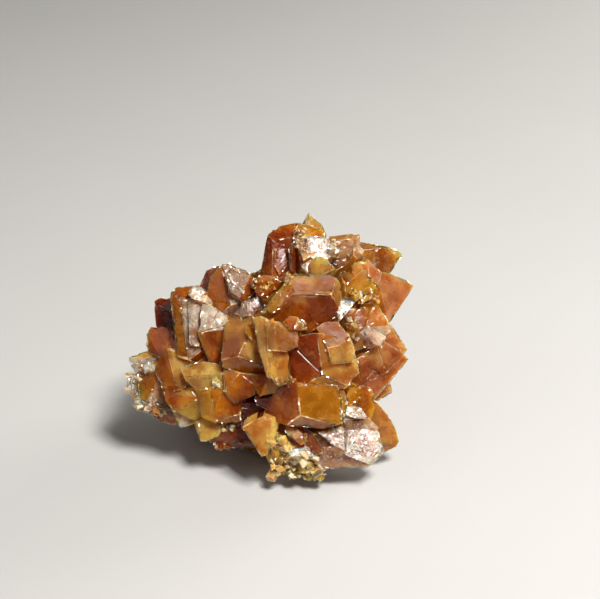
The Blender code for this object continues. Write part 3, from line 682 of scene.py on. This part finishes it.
# The flakes' pale cast is a painted glint; many are also turned to send the flash back.
FLAKE_GLINT = CalciteFinish(
    "bright flake",
    shine=0.7,
    paleness=0.45,
    gloss=0.1,
    glow_depth=0.0005,
    glow_colour=THIN_GLOW,
    plate_tilt=0.0,
)


@dataclass(frozen=True)
class FloorFinish:
    """A plain pale floor with a faint mottle."""

    colour: Triple = (0.38, 0.375, 0.365)
    lighter: float = 1.04
    mottle_scale: float = 30.0
    mottle_detail: float = 4.0
    rough: float = 0.7

    def make(self) -> bpy.types.Material:
        """Writes the material.

        Returns:
            The material.
        """
        sheet = Sheet("pale floor")
        where = sheet.node("TexCoord").outputs["Object"]
        lighter = tuple(part * self.lighter for part in self.colour)
        mottle = sheet.noise(where, self.mottle_scale, self.mottle_detail)
        mottled = sheet.blend(mottle, (*self.colour, 1.0), (*lighter, 1.0))
        sheet.feed(sheet.surface.inputs["Base Color"], mottled)
        sheet.surface.inputs["Roughness"].default_value = self.rough
        return sheet.material


def new_piece(name: str, mesh: bmesh.types.BMesh, *materials: bpy.types.Material) -> bpy.types.Object:
    """Makes an object of a finished mesh, at the origin.

    Args:
        name: The piece's name.
        mesh: Its mesh, in metres in the world, which is freed.
        materials: Its finishes, in the order of the faces' numbers.

    Returns:
        The object.
    """
    data = bpy.data.meshes.new(name)
    mesh.to_mesh(data)
    mesh.free()
    piece = bpy.data.objects.new(name, data)
    bpy.context.scene.collection.objects.link(piece)
    for material in materials:
        data.materials.append(material)
    return piece


@dataclass(frozen=True)
class Line:
    """A straight edge between two faces: a crease between crystals, or a crystal's own rim."""

    start: Vector
    end: Vector
    outward: Vector

    def count(self, share: float, chance: random.Random) -> int:
        """How many small growths it carries, at a mean share for each millimetre."""
        expected = (self.end - self.start).length / MM * share
        return int(expected) + (chance.random() < expected % 1.0)


@dataclass(frozen=True)
class Tinting:
    """How the tones of the faces vary, and which faces send the flash back to the eye: these are painted
    white as a highlight.
    """

    showing_from: float = -4.0
    flash_from: float = 0.0
    flash_within: float = math.radians(2.6)
    crystal_shade: Span = (0.85, 1.12)
    face_shade: Span = (0.94, 1.06)
    clear_share: Span = (0.8, 1.1)
    frost_chance: float = 0.06
    frost: float = 0.8

    def patch(self, spot: Vector) -> Patch | None:
        """The patch of the showing side that a seen spot is in, if it is in one."""
        showing = spot.z > self.showing_from
        return next((patch for patch in PATCHES if showing and patch.holds(spot)), None)

    def flashes(self, spot: Vector, normal: Vector) -> bool:
        """Whether a face at a seen spot sends the flash back to the eye."""
        return spot.z > self.flash_from and normal.dot(SHOWING.flash()) > math.cos(self.flash_within)


@dataclass(frozen=True)
class Steps:
    """The low cleavage steps on the larger faces: heights and slopes in millimetres, turns in degrees."""

    smallest_face: float = 8.0 * MM * MM
    lowest: float = 1.0 * MM
    plain_chance: float = 0.55
    cleavage_turns: Span = (75.0, 105.0)
    along_cuts: tuple[int, int, int] = (1, 1, 2)
    across_cuts: tuple[int, int, int] = (0, 1, 1)
    reach: float = 0.5
    cut_range: Span = (-0.8, 0.8)
    cut_weld: float = 0.001 * MM
    level_chance: float = 0.45
    smallest_part: float = 0.6 * MM * MM
    heights: Span = (0.03, 0.08)
    slopes: Span = (0.02, 0.05)

    def cut(self, mesh: bmesh.types.BMesh, chance: random.Random) -> None:
        """Splits many of the larger faces along cleavage lines, and lifts or sinks some of their parts.

        Args:
            mesh: The cluster's mesh.
            chance: The source of the uneven shares.
        """
        for face in [face for face in mesh.faces if self.holds(face)]:
            if chance.random() < self.plain_chance:
                continue
            for part in self.split(mesh, face, chance):
                if chance.random() < self.level_chance or part.calc_area() < self.smallest_part:
                    continue
                height = chance.choice((-1.0, 1.0)) * chance.uniform(*self.heights) * MM
                slope = chance.uniform(*self.slopes) * MM
                bmesh.ops.inset_individual(
                    mesh, faces=[part], thickness=slope, depth=height, use_even_offset=True
                )

    def holds(self, face: bmesh.types.BMFace) -> bool:
        """Whether a face is large enough, and far enough from the foot."""
        return face.calc_area() > self.smallest_face and face.calc_center_median().z > self.lowest

    def split(
        self, mesh: bmesh.types.BMesh, face: bmesh.types.BMFace, chance: random.Random
    ) -> list[bmesh.types.BMFace]:
        """Splits a face along and across its longest edge.

        Args:
            mesh: The cluster's mesh.
            face: The face.
            chance: The source of the uneven shares.

        Returns:
            The face's parts.
        """
        longest = max(face.edges, key=lambda edge: edge.calc_length())
        along = (longest.verts[1].co - longest.verts[0].co).normalized()
        normal = face.normal.copy()
        across = Matrix.Rotation(math.radians(chance.choice(self.cleavage_turns)), 3, normal) @ along
        middle = face.calc_center_median()
        reach = math.sqrt(face.calc_area()) * self.reach
        parts = [face]
        counts = (chance.choice(self.along_cuts), chance.choice(self.across_cuts))
        for line, count in zip((along, across), counts):
            side = line.cross(normal)
            for _ in range(count):
                point = middle + side * reach * chance.uniform(*self.cut_range)
                edges = list(dict.fromkeys(edge for part in parts for edge in part.edges))
                verts = list(dict.fromkeys(vert for part in parts for vert in part.verts))
                cut = bmesh.ops.bisect_plane(
                    mesh, geom=parts + edges + verts, dist=self.cut_weld, plane_co=point, plane_no=side
                )
                parts = [item for item in cut["geom"] if isinstance(item, bmesh.types.BMFace)]
                # The cut gives its parts back in an order that changes from run to run.
                parts.sort(key=lambda part: tuple(part.calc_center_median()))
        return parts


@dataclass(frozen=True)
class Weather:
    """How uneven the faces are and how the rims are chipped: in millimetres, with waves to the millimetre.

    A layered noise is given by its roughness, the step from one layer's waves to the next, and its layers.
    """

    lowest: float = 0.5
    sway_waves: float = 0.22
    sway_layers: tuple[float, float, int] = (1.0, 2.0, 3)
    sway: float = 0.015
    growth_waves: float = 0.55
    growth_layers: tuple[float, float, int] = (1.0, 2.1, 2)
    growth_away: Triple = (9.0, 3.0, 5.0)
    growth_levels: float = 4.0
    growth: float = 0.03
    pit_waves: float = 1.7
    pit_from: float = 0.40
    pit: float = 0.15
    chip_away: Triple = (2.0, 8.0, 4.0)
    chip_layers: tuple[float, float, int] = (1.0, 2.0, 3)
    chip_from: float = 0.05
    chip: float = 1.1
    deepest_chip: float = 0.45

    def height(self, spot: Vector, on_rim: bool) -> float:
        """How far a point of the skin is lifted, or sunk where it is less than nought.

        Args:
            spot: The point in millimetres.
            on_rim: Whether it is on a crystal's rim.

        Returns:
            The height in millimetres.
        """
        sway = noise.fractal(spot * self.sway_waves, *self.sway_layers) * self.sway
        grown = noise.fractal(spot * self.growth_waves + Vector(self.growth_away), *self.growth_layers)
        step = (round(grown * self.growth_levels) / self.growth_levels) * self.growth
        pit = max(0.0, noise.noise(spot * self.pit_waves) - self.pit_from) * self.pit
        height = sway + step - pit
        if on_rim:
            chip = max(0.0, noise.fractal(spot + Vector(self.chip_away), *self.chip_layers) - self.chip_from)
            height -= min(self.deepest_chip, chip * self.chip)
        return height


@dataclass
class Skin:
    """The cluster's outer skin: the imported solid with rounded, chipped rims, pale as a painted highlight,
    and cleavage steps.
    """

    weld: float = 0.02 * MM
    flat: float = math.radians(0.8)
    crease: float = math.radians(3.0)
    crease_depth: float = math.radians(40.0)
    crease_area: float = 1.0 * MM * MM
    lines_lowest: float = 1.0 * MM
    rim_angle: float = math.radians(22.0)
    rim_length: float = 1.1 * MM
    rim_lowest: float = 0.2 * MM
    rim_percent: float = 4.0
    sharp: float = math.radians(14.0)
    grain: float = 0.85 * MM
    narrow_face: float = 0.3 * MM
    narrow_rim: float = 0.05 * MM
    divisions: int = 7
    seed: int = 7
    tinting: Tinting = Tinting()
    steps: Steps = Steps()
    weathering: Weather = Weather()
    creases: list[Line] = field(default_factory=list)
    rims: list[Line] = field(default_factory=list)

    def build(self, node: bpy.types.Object) -> bpy.types.Object:
        """Builds the skin.

        Args:
            node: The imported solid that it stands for.

        Returns:
            The dressed piece.
        """
        chance = random.Random(self.seed)
        mesh = bmesh.new()
        mesh.from_mesh(node.data)
        bmesh.ops.remove_doubles(mesh, verts=mesh.verts, dist=self.weld)
        bmesh.ops.dissolve_degenerate(mesh, edges=mesh.edges, dist=self.weld)
        bmesh.ops.dissolve_limit(mesh, angle_limit=self.flat, verts=mesh.verts, edges=mesh.edges)
        self.tint(mesh, chance)
        self.find_lines(mesh)
        self.wear_rims(mesh)
        self.steps.cut(mesh, chance)
        self.refine(mesh)
        self.weather(mesh)
        finishes = {FaceKind.BODY: HONEY_CALCITE, FaceKind.RIM: WORN_RIM_SHEEN, FaceKind.VEILED: VEILED_CALCITE}
        piece = new_piece("calcite_skin", mesh, *(finishes[kind].make() for kind in FaceKind))
        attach(piece, BODY)
        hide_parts(NODE)
        return piece

    def crystals(self, mesh: bmesh.types.BMesh) -> Iterator[list[bmesh.types.BMFace]]:
        """Goes through the single crystals: faces with no crease between them.

        Args:
            mesh: The cluster's mesh.

        Yields:
            Each crystal's faces.
        """
        left = set(mesh.faces)
        for first in mesh.faces:
            if first not in left:
                continue
            left.discard(first)
            found = [first]
            for face in found:
                for edge in face.edges:
                    if len(edge.link_faces) != 2 or edge.calc_face_angle_signed() < -self.crease:
                        continue
                    for near in edge.link_faces:
                        if near in left:
                            left.discard(near)
                            found.append(near)
            yield found

    def tint(self, mesh: bmesh.types.BMesh, chance: random.Random) -> None:
        """Gives each face its tone, clearness and frost.

        Args:
            mesh: The cluster's mesh.
            chance: The source of the uneven shares.
        """
        stone = mesh.loops.layers.float_color.new("stone")
        traits = mesh.loops.layers.float_color.new("traits")
        tones = [tone for tone, _ in OTHER_TONES]
        shares = [share for _, share in OTHER_TONES]
        tinting = self.tinting
        for faces in self.crystals(mesh):
            other = chance.choices(tones, shares)[0]
            turn = chance.random()
            shade = chance.uniform(*tinting.crystal_shade)
            for face in faces:
                spot = SHOWING.seen(face.calc_center_median())
                patch = tinting.patch(spot)
                kept = (patch.tone if patch else other).value
                # Faces turned to send the key lamp's flash to the eye take the white tone: a painted
                # highlight on top of their frost.
                if tinting.flashes(spot, face.normal):
                    kept = Tone.WHITE.value
                shades = [shade * chance.uniform(*tinting.face_shade) for _ in kept.colour]
                colour = [min(1.0, part * own) for part, own in zip(kept.colour, shades)]
                frost = kept.frost
                if patch is None and chance.random() < tinting.frost_chance:
                    frost = tinting.frost
                face.material_index = FaceKind.VEILED if kept.dull else FaceKind.BODY
                for loop in face.loops:
                    clear = kept.clear * chance.uniform(*tinting.clear_share)
                    loop[stone] = (*colour, 1.0)
                    loop[traits] = (frost, clear, turn, kept.dull)

    def find_lines(self, mesh: bmesh.types.BMesh) -> None:
        """Finds the deep creases between larger crystals and the crystals' sharp rims.

        Args:
            mesh: The cluster's mesh.
        """
        for edge in mesh.edges:
            if len(edge.link_faces) != 2 or min(vert.co.z for vert in edge.verts) < self.lines_lowest:
                continue
            angle = edge.calc_face_angle_signed()
            outward = (edge.link_faces[0].normal + edge.link_faces[1].normal).normalized()
            line = Line(edge.verts[0].co.copy(), edge.verts[1].co.copy(), outward)
            smaller = min(face.calc_area() for face in edge.link_faces)
            if angle < -self.crease_depth and smaller > self.crease_area:
                self.creases.append(line)
            if angle > self.rim_angle and edge.calc_length() > self.rim_length:
                self.rims.append(line)

    def wear_rims(self, mesh: bmesh.types.BMesh) -> None:
        """Rounds the crystals' longer outer edges a little.

        Args:
            mesh: The cluster's mesh.
        """
        rims = []
        for edge in mesh.edges:
            if len(edge.link_faces) != 2 or edge.calc_length() < self.rim_length:
                continue
            lowest = min(vert.co.z for vert in edge.verts)
            if edge.calc_face_angle_signed() > self.rim_angle and lowest > self.rim_lowest:
                rims.append(edge)
        worn_pale_sheen = bmesh.ops.bevel(
            mesh,
            geom=rims,
            offset=self.rim_percent,
            offset_type="PERCENT",
            segments=2,
            profile=0.5,
            affect="EDGES",
            clamp_overlap=True,
            material=-1,
        )
        # The rounded faces take the rim finish, whose pale cast is a painted highlight.
        for face in worn_pale_sheen["faces"]:
            face.material_index = FaceKind.RIM

    def refine(self, mesh: bmesh.types.BMesh) -> None:
        """Divides the faces finely, and keeps the crystals' edges sharp.

        Args:
            mesh: The cluster's mesh.
        """
        for edge in mesh.edges:
            edge.smooth = len(edge.link_faces) == 2 and abs(edge.calc_face_angle_signed()) < self.sharp
        for face in mesh.faces:
            face.smooth = face.material_index != FaceKind.RIM
        bmesh.ops.triangulate(mesh, faces=mesh.faces)
        for _ in range(self.divisions):
            split = []
            for face in mesh.faces:
                edge = max(face.edges, key=bmesh.types.BMEdge.calc_length)
                length = edge.calc_length()
                narrow = self.narrow_rim if face.material_index == FaceKind.RIM else self.narrow_face
                if length > self.grain and 2.0 * face.calc_area() / length > narrow:
                    split.append(edge)
            bmesh.ops.subdivide_edges(mesh, edges=list(dict.fromkeys(split)), cuts=1)
            bmesh.ops.triangulate(mesh, faces=[face for face in mesh.faces if len(face.verts) > 3])

    def weather(self, mesh: bmesh.types.BMesh) -> None:
        """Makes the faces slightly uneven and stepped, and chips the rims.

        Args:
            mesh: The cluster's mesh.
        """
        mesh.normal_update()
        moves = []
        for vert in mesh.verts:
            spot = vert.co / MM
            if spot.z >= self.weathering.lowest:
                on_rim = any(face.material_index == FaceKind.RIM for face in vert.link_faces)
                moves.append((vert, vert.normal * (self.weathering.height(spot, on_rim) * MM)))
        for vert, move in moves:
            vert.co += move


@dataclass(frozen=True)
class Crumbs:
    """A spread of small rhombs on the showing side."""

    across: float
    up: float
    wide: float
    high: float
    count: int
    size: float
    tone: Tone


CRUMBS = (
    Crumbs(6.2, 22.6, 3.0, 5.4, 26, 0.85, Tone.CREAM),
    Crumbs(12.4, 20.6, 3.0, 3.6, 9, 0.8, Tone.CREAM),
    Crumbs(19.6, 10.4, 6.4, 2.4, 8, 0.8, Tone.HONEY),
    Crumbs(5.0, -26.0, 10.8, 3.0, 18, 2.2, Tone.GOLD),
    Crumbs(5.0, -26.4, 10.8, 3.2, 26, 1.2, Tone.CREAM),
    Crumbs(2.4, -22.0, 4.4, 5.0, 9, 2.2, Tone.GOLD),
    Crumbs(2.4, -22.0, 4.4, 5.0, 12, 1.1, Tone.CREAM),
    Crumbs(7.6, -24.4, 6.0, 2.6, 9, 1.7, Tone.WHITE),
    Crumbs(-28.6, -8.4, 2.6, 5.6, 12, 1.8, Tone.WHITE),
    Crumbs(-28.8, -8.4, 2.6, 5.6, 16, 1.0, Tone.WHITE),
    Crumbs(-26.6, -12.2, 5.0, 2.2, 12, 1.9, Tone.WHITE),
    Crumbs(-26.6, -12.2, 5.0, 2.2, 16, 1.0, Tone.WHITE),
    Crumbs(-22.0, -14.2, 5.0, 1.6, 12, 1.5, Tone.GOLD),
    Crumbs(-9.4, -17.2, 4.0, 1.6, 12, 0.8, Tone.CREAM),
    Crumbs(-10.8, -8.6, 3.0, 2.0, 9, 0.8, Tone.CREAM),
    Crumbs(-1.0, 13.2, 6.0, 2.6, 18, 0.8, Tone.HONEY),
    Crumbs(4.0, 14.0, 2.2, 3.0, 8, 0.9, Tone.GOLD),
    Crumbs(6.6, 4.6, 2.6, 2.8, 9, 0.8, Tone.CREAM),
    Crumbs(18.0, 3.8, 1.6, 5.0, 10, 0.7, Tone.CREAM),
    Crumbs(2.6, -7.4, 3.6, 2.0, 9, 0.8, Tone.GOLD),
    Crumbs(-12.0, -21.0, 6.0, 1.2, 10, 0.9, Tone.BLUSH),
    Crumbs(15.4, -12.8, 1.4, 6.0, 10, 0.6, Tone.CREAM),
)


@dataclass(frozen=True)
class Block:
    """A small growth: a unit cube in the shape, colour and traits that it gets."""

    shape: Matrix
    colour: Colour
    traits: Colour


@dataclass
class SmallCrystals:
    """The small growths: rhombs in hollows and creases, and bright flakes on the rims."""

    slope: float = math.radians(44.6)
    rhomb_lean: float = 0.5
    rhomb_sides: Span = (0.6, 1.1)
    shades: Span = (0.85, 1.15)
    frosts: Triple = (0.0, 0.2, 0.8)
    crumb_sizes: Span = (0.5, 1.2)
    crumb_sunk: float = 0.3
    floor_gap: float = 0.5 * MM
    crease_share: float = 0.16
    crease_lowest: float = 1.5 * MM
    crease_sizes: Span = (0.3, 0.9)
    crease_tones: tuple[Tone, ...] = (Tone.GOLD, Tone.HONEY, Tone.HONEY, Tone.AMBER)
    flake_share: float = 0.11
    flake_ends: Span = (0.05, 0.95)
    flake_sunk: float = 0.08 * MM
    flake_lean: float = 0.1
    flake_lengths: Span = (0.15, 0.75)
    flake_widths: Span = (0.1, 0.25)
    flake_thick: float = 0.25 * MM
    towards_flash: float = 0.3
    seed: int = 19

    def build(self, skin: bpy.types.Object, outer: Skin) -> list[bpy.types.Object]:
        """Builds the small growths.

        Args:
            skin: The piece that they sit on.
            outer: What made it, with its lines.

        Returns:
            The dressed pieces.
        """
        chance = random.Random(self.seed)
        tree = BVHTree.FromObject(skin, bpy.context.evaluated_depsgraph_get())
        rhombs = [*self.showing_rhombs(tree, chance), *self.crease_rhombs(outer.creases, chance)]
        flakes = list(self.flakes(outer.rims, chance))
        return [
            self.piece("small_crystals", rhombs, SMALL_CALCITE),
            self.piece("bright_flakes", flakes, FLAKE_GLINT),
        ]

    def piece(self, name: str, blocks: list[Block], finish: CalciteFinish) -> bpy.types.Object:
        """Makes one piece of many small blocks.

        Args:
            name: The piece's name.
            blocks: The blocks.
            finish: The finish.

        Returns:
            The piece.
        """
        grown = bmesh.new()
        stone = grown.loops.layers.float_color.new("stone")
        traits = grown.loops.layers.float_color.new("traits")
        for block in blocks:
            cube = bmesh.ops.create_cube(grown, size=1.0, matrix=block.shape)
            for face in {face for vert in cube["verts"] for face in vert.link_faces}:
                for loop in face.loops:
                    loop[stone] = block.colour
                    loop[traits] = block.traits
        bmesh.ops.recalc_face_normals(grown, faces=grown.faces)
        piece = new_piece(name, grown, finish.make())
        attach(piece, BODY)
        return piece

    def leant(self, way: Vector, most: float, chance: random.Random) -> Vector:
        """A way that leans off another by chance, of length one."""
        return (way + most * Vector([chance.uniform(-1.0, 1.0) for _ in range(3)])).normalized()

    def rhomb(self, place: Vector, outward: Vector, size: float, chance: random.Random) -> Matrix:
        """The matrix that makes a unit cube a rhomb at calcite's angles.

        Args:
            place: The rhomb's middle.
            outward: The way out of the surface under it.
            size: Its size in metres.
            chance: The source of the uneven shares.

        Returns:
            The matrix.
        """
        axis = self.leant(outward, self.rhomb_lean, chance)
        turn = Vector((0.0, 0.0, 1.0)).rotation_difference(axis).to_matrix()
        spin = chance.uniform(0.0, math.tau)
        sides = []
        for number in range(3):
            around = spin + math.tau * number / 3
            flat = math.cos(self.slope)
            side = Vector((flat * math.cos(around), flat * math.sin(around), math.sin(self.slope)))
            sides.append(turn @ side * size * chance.uniform(*self.rhomb_sides))
        return Matrix.Translation(place) @ Matrix(sides).transposed().to_4x4()

    def block(self, tone: Tone, shape: Matrix, chance: random.Random) -> Block:
        """A block in a tone.

        Args:
            tone: The tone.
            shape: What makes the unit cube the block.
            chance: The source of the uneven shares.

        Returns:
            The block.
        """
        shade = chance.uniform(*self.shades)
        colour = tuple(min(1.0, part * shade) for part in tone.value.colour)
        frost = chance.choice(self.frosts)
        return Block(shape, (*colour, 1.0), (frost, 0.0, chance.random(), 0.0))

    def showing_rhombs(self, tree: BVHTree, chance: random.Random) -> Iterator[Block]:
        """Grows the spreads of rhombs on the showing side, clear of the floor.

        Args:
            tree: The surface that they sit on.
            chance: The source of the uneven shares.

        Yields:
            Each rhomb's block.
        """
        eye = SHOWING.eye()
        for crumbs in CRUMBS:
            for _ in range(crumbs.count):
                across = crumbs.across + crumbs.wide * chance.uniform(-0.5, 0.5)
                up = crumbs.up + crumbs.high * chance.uniform(-0.5, 0.5)
                size = crumbs.size * chance.uniform(*self.crumb_sizes) * MM
                place, outward, _, _ = tree.ray_cast(eye, (SHOWING.place(across, up, 0.0) - eye).normalized())
                if place is None or place.z < size + self.floor_gap:
                    continue
                place = place - outward * size * self.crumb_sunk
                yield self.block(crumbs.tone, self.rhomb(place, outward, size, chance), chance)

    def crease_rhombs(self, creases: list[Line], chance: random.Random) -> Iterator[Block]:
        """Grows rhombs along the creases, all round.

        Args:
            creases: The deep creases.
            chance: The source of the uneven shares.

        Yields:
            Each rhomb's block.
        """
        for crease in creases:
            if min(crease.start.z, crease.end.z) < self.crease_lowest:
                continue
            for _ in range(crease.count(self.crease_share, chance)):
                place = crease.start.lerp(crease.end, chance.random())
                size = chance.uniform(*self.crease_sizes) * MM
                tone = chance.choice(self.crease_tones)
                yield self.block(tone, self.rhomb(place, crease.outward, size, chance), chance)

    def flakes(self, rims: list[Line], chance: random.Random) -> Iterator[Block]:
        """Puts small bright flakes on the rims, pale as a painted glint; many on the showing side face the
        flash.

        Args:
            rims: The crystals' sharp rims.
            chance: The source of the uneven shares.

        Yields:
            Each flake's block.
        """
        flash = SHOWING.flash()
        for rim in rims:
            for _ in range(rim.count(self.flake_share, chance)):
                place = rim.start.lerp(rim.end, chance.uniform(*self.flake_ends))
                place = place - rim.outward * self.flake_sunk
                facing = flash if rim.outward.dot(flash) > self.towards_flash else rim.outward
                facing = self.leant(facing, self.flake_lean, chance)
                along = (rim.end - rim.start).normalized()
                along = (along - facing * along.dot(facing)).normalized()
                long = chance.uniform(*self.flake_lengths) * MM
                wide = chance.uniform(*self.flake_widths) * MM
                sides = Matrix((along * long, facing.cross(along) * wide, facing * self.flake_thick))
                yield self.block(Tone.CREAM, Matrix.Translation(place) @ sides.transposed().to_4x4(), chance)


@dataclass(frozen=True)
class Lamp:
    """A square lamp that faces the cluster: its way on the showing axes, metres off, side and watts."""

    name: str
    across: float
    up: float
    out: float
    away: float
    side: float
    power: float
    colour: Triple

    def hang(self) -> None:
        """Hangs the lamp."""
        direction = SHOWING.direction(self.across, self.up, self.out)
        data = bpy.data.lights.new(self.name, "AREA")
        data.shape = "SQUARE"
        data.size = self.side
        data.energy = self.power
        data.color = self.colour
        lamp = bpy.data.objects.new(self.name, data)
        bpy.context.scene.collection.objects.link(lamp)
        lamp.location = SHOWING.place(0.0, 0.0, 0.0) + direction * self.away
        lamp.rotation_euler = direction.to_track_quat("Z", "Y").to_euler()


LAMPS = (
    Lamp("key", 0.336, 0.595, 0.730, away=0.5, side=0.14, power=5.0, colour=(1.0, 0.98, 0.95)),
    Lamp("fill", -0.75, 0.5, 0.5, away=0.7, side=0.6, power=1.0, colour=(1.0, 0.96, 0.90)),
    Lamp("rim", 0.8, 0.55, -0.35, away=0.6, side=0.3, power=3.0, colour=(1.0, 0.97, 0.92)),
)


@dataclass
class Studio:
    """The floor, the lights and the camera, in metres, with the camera's parts in millimetres."""

    floor_side: float = 6.0
    lens: float = 85.0
    sensor: float = 36.0
    nearest: float = 0.01
    sky: Colour = (0.92, 0.91, 0.89, 1.0)
    sky_strength: float = 0.13

    def build(self) -> None:
        """Puts the studio up."""
        self.make_floor()
        self.make_sky()
        for lamp in LAMPS:
            lamp.hang()
        self.make_camera()

    def make_floor(self) -> None:
        """Lays the floor."""
        mesh = bmesh.new()
        bmesh.ops.create_grid(mesh, x_segments=1, y_segments=1, size=self.floor_side / 2)
        new_piece("floor", mesh, FloorFinish().make())

    def make_sky(self) -> None:
        """Lights the room evenly."""
        world = bpy.data.worlds.new("studio")
        world.use_nodes = True
        background = world.node_tree.nodes["Background"]
        background.inputs["Color"].default_value = self.sky
        background.inputs["Strength"].default_value = self.sky_strength
        bpy.context.scene.world = world

    def make_camera(self) -> None:
        """Sets the camera where the eye is, level with the showing side."""
        data = bpy.data.cameras.new("eye")
        data.lens = self.lens
        data.sensor_width = self.sensor
        data.clip_start = self.nearest
        data.dof.use_dof = False
        camera = bpy.data.objects.new("eye", data)
        bpy.context.scene.collection.objects.link(camera)
        camera.location = SHOWING.eye()
        camera.rotation_euler = SHOWING.direction(0.0, 0.0, 1.0).to_track_quat("Z", "Y").to_euler()
        bpy.context.scene.camera = camera
        bpy.context.scene.view_settings.view_transform = "Standard"


def main() -> None:
    """Builds the dressed cluster and the studio."""
    logging.basicConfig(level=logging.INFO, format="%(relativeCreated)d %(message)s")
    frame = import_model()
    Studio().build()
    outer = Skin()
    skin = outer.build(frame["nodes"][NODE])
    LOG.info("%s: %d faces", skin.name, len(skin.data.polygons))
    for small in SmallCrystals().build(skin, outer):
        LOG.info("%s: %d faces", small.name, len(small.data.polygons))


if __name__ == "__main__":
    main()
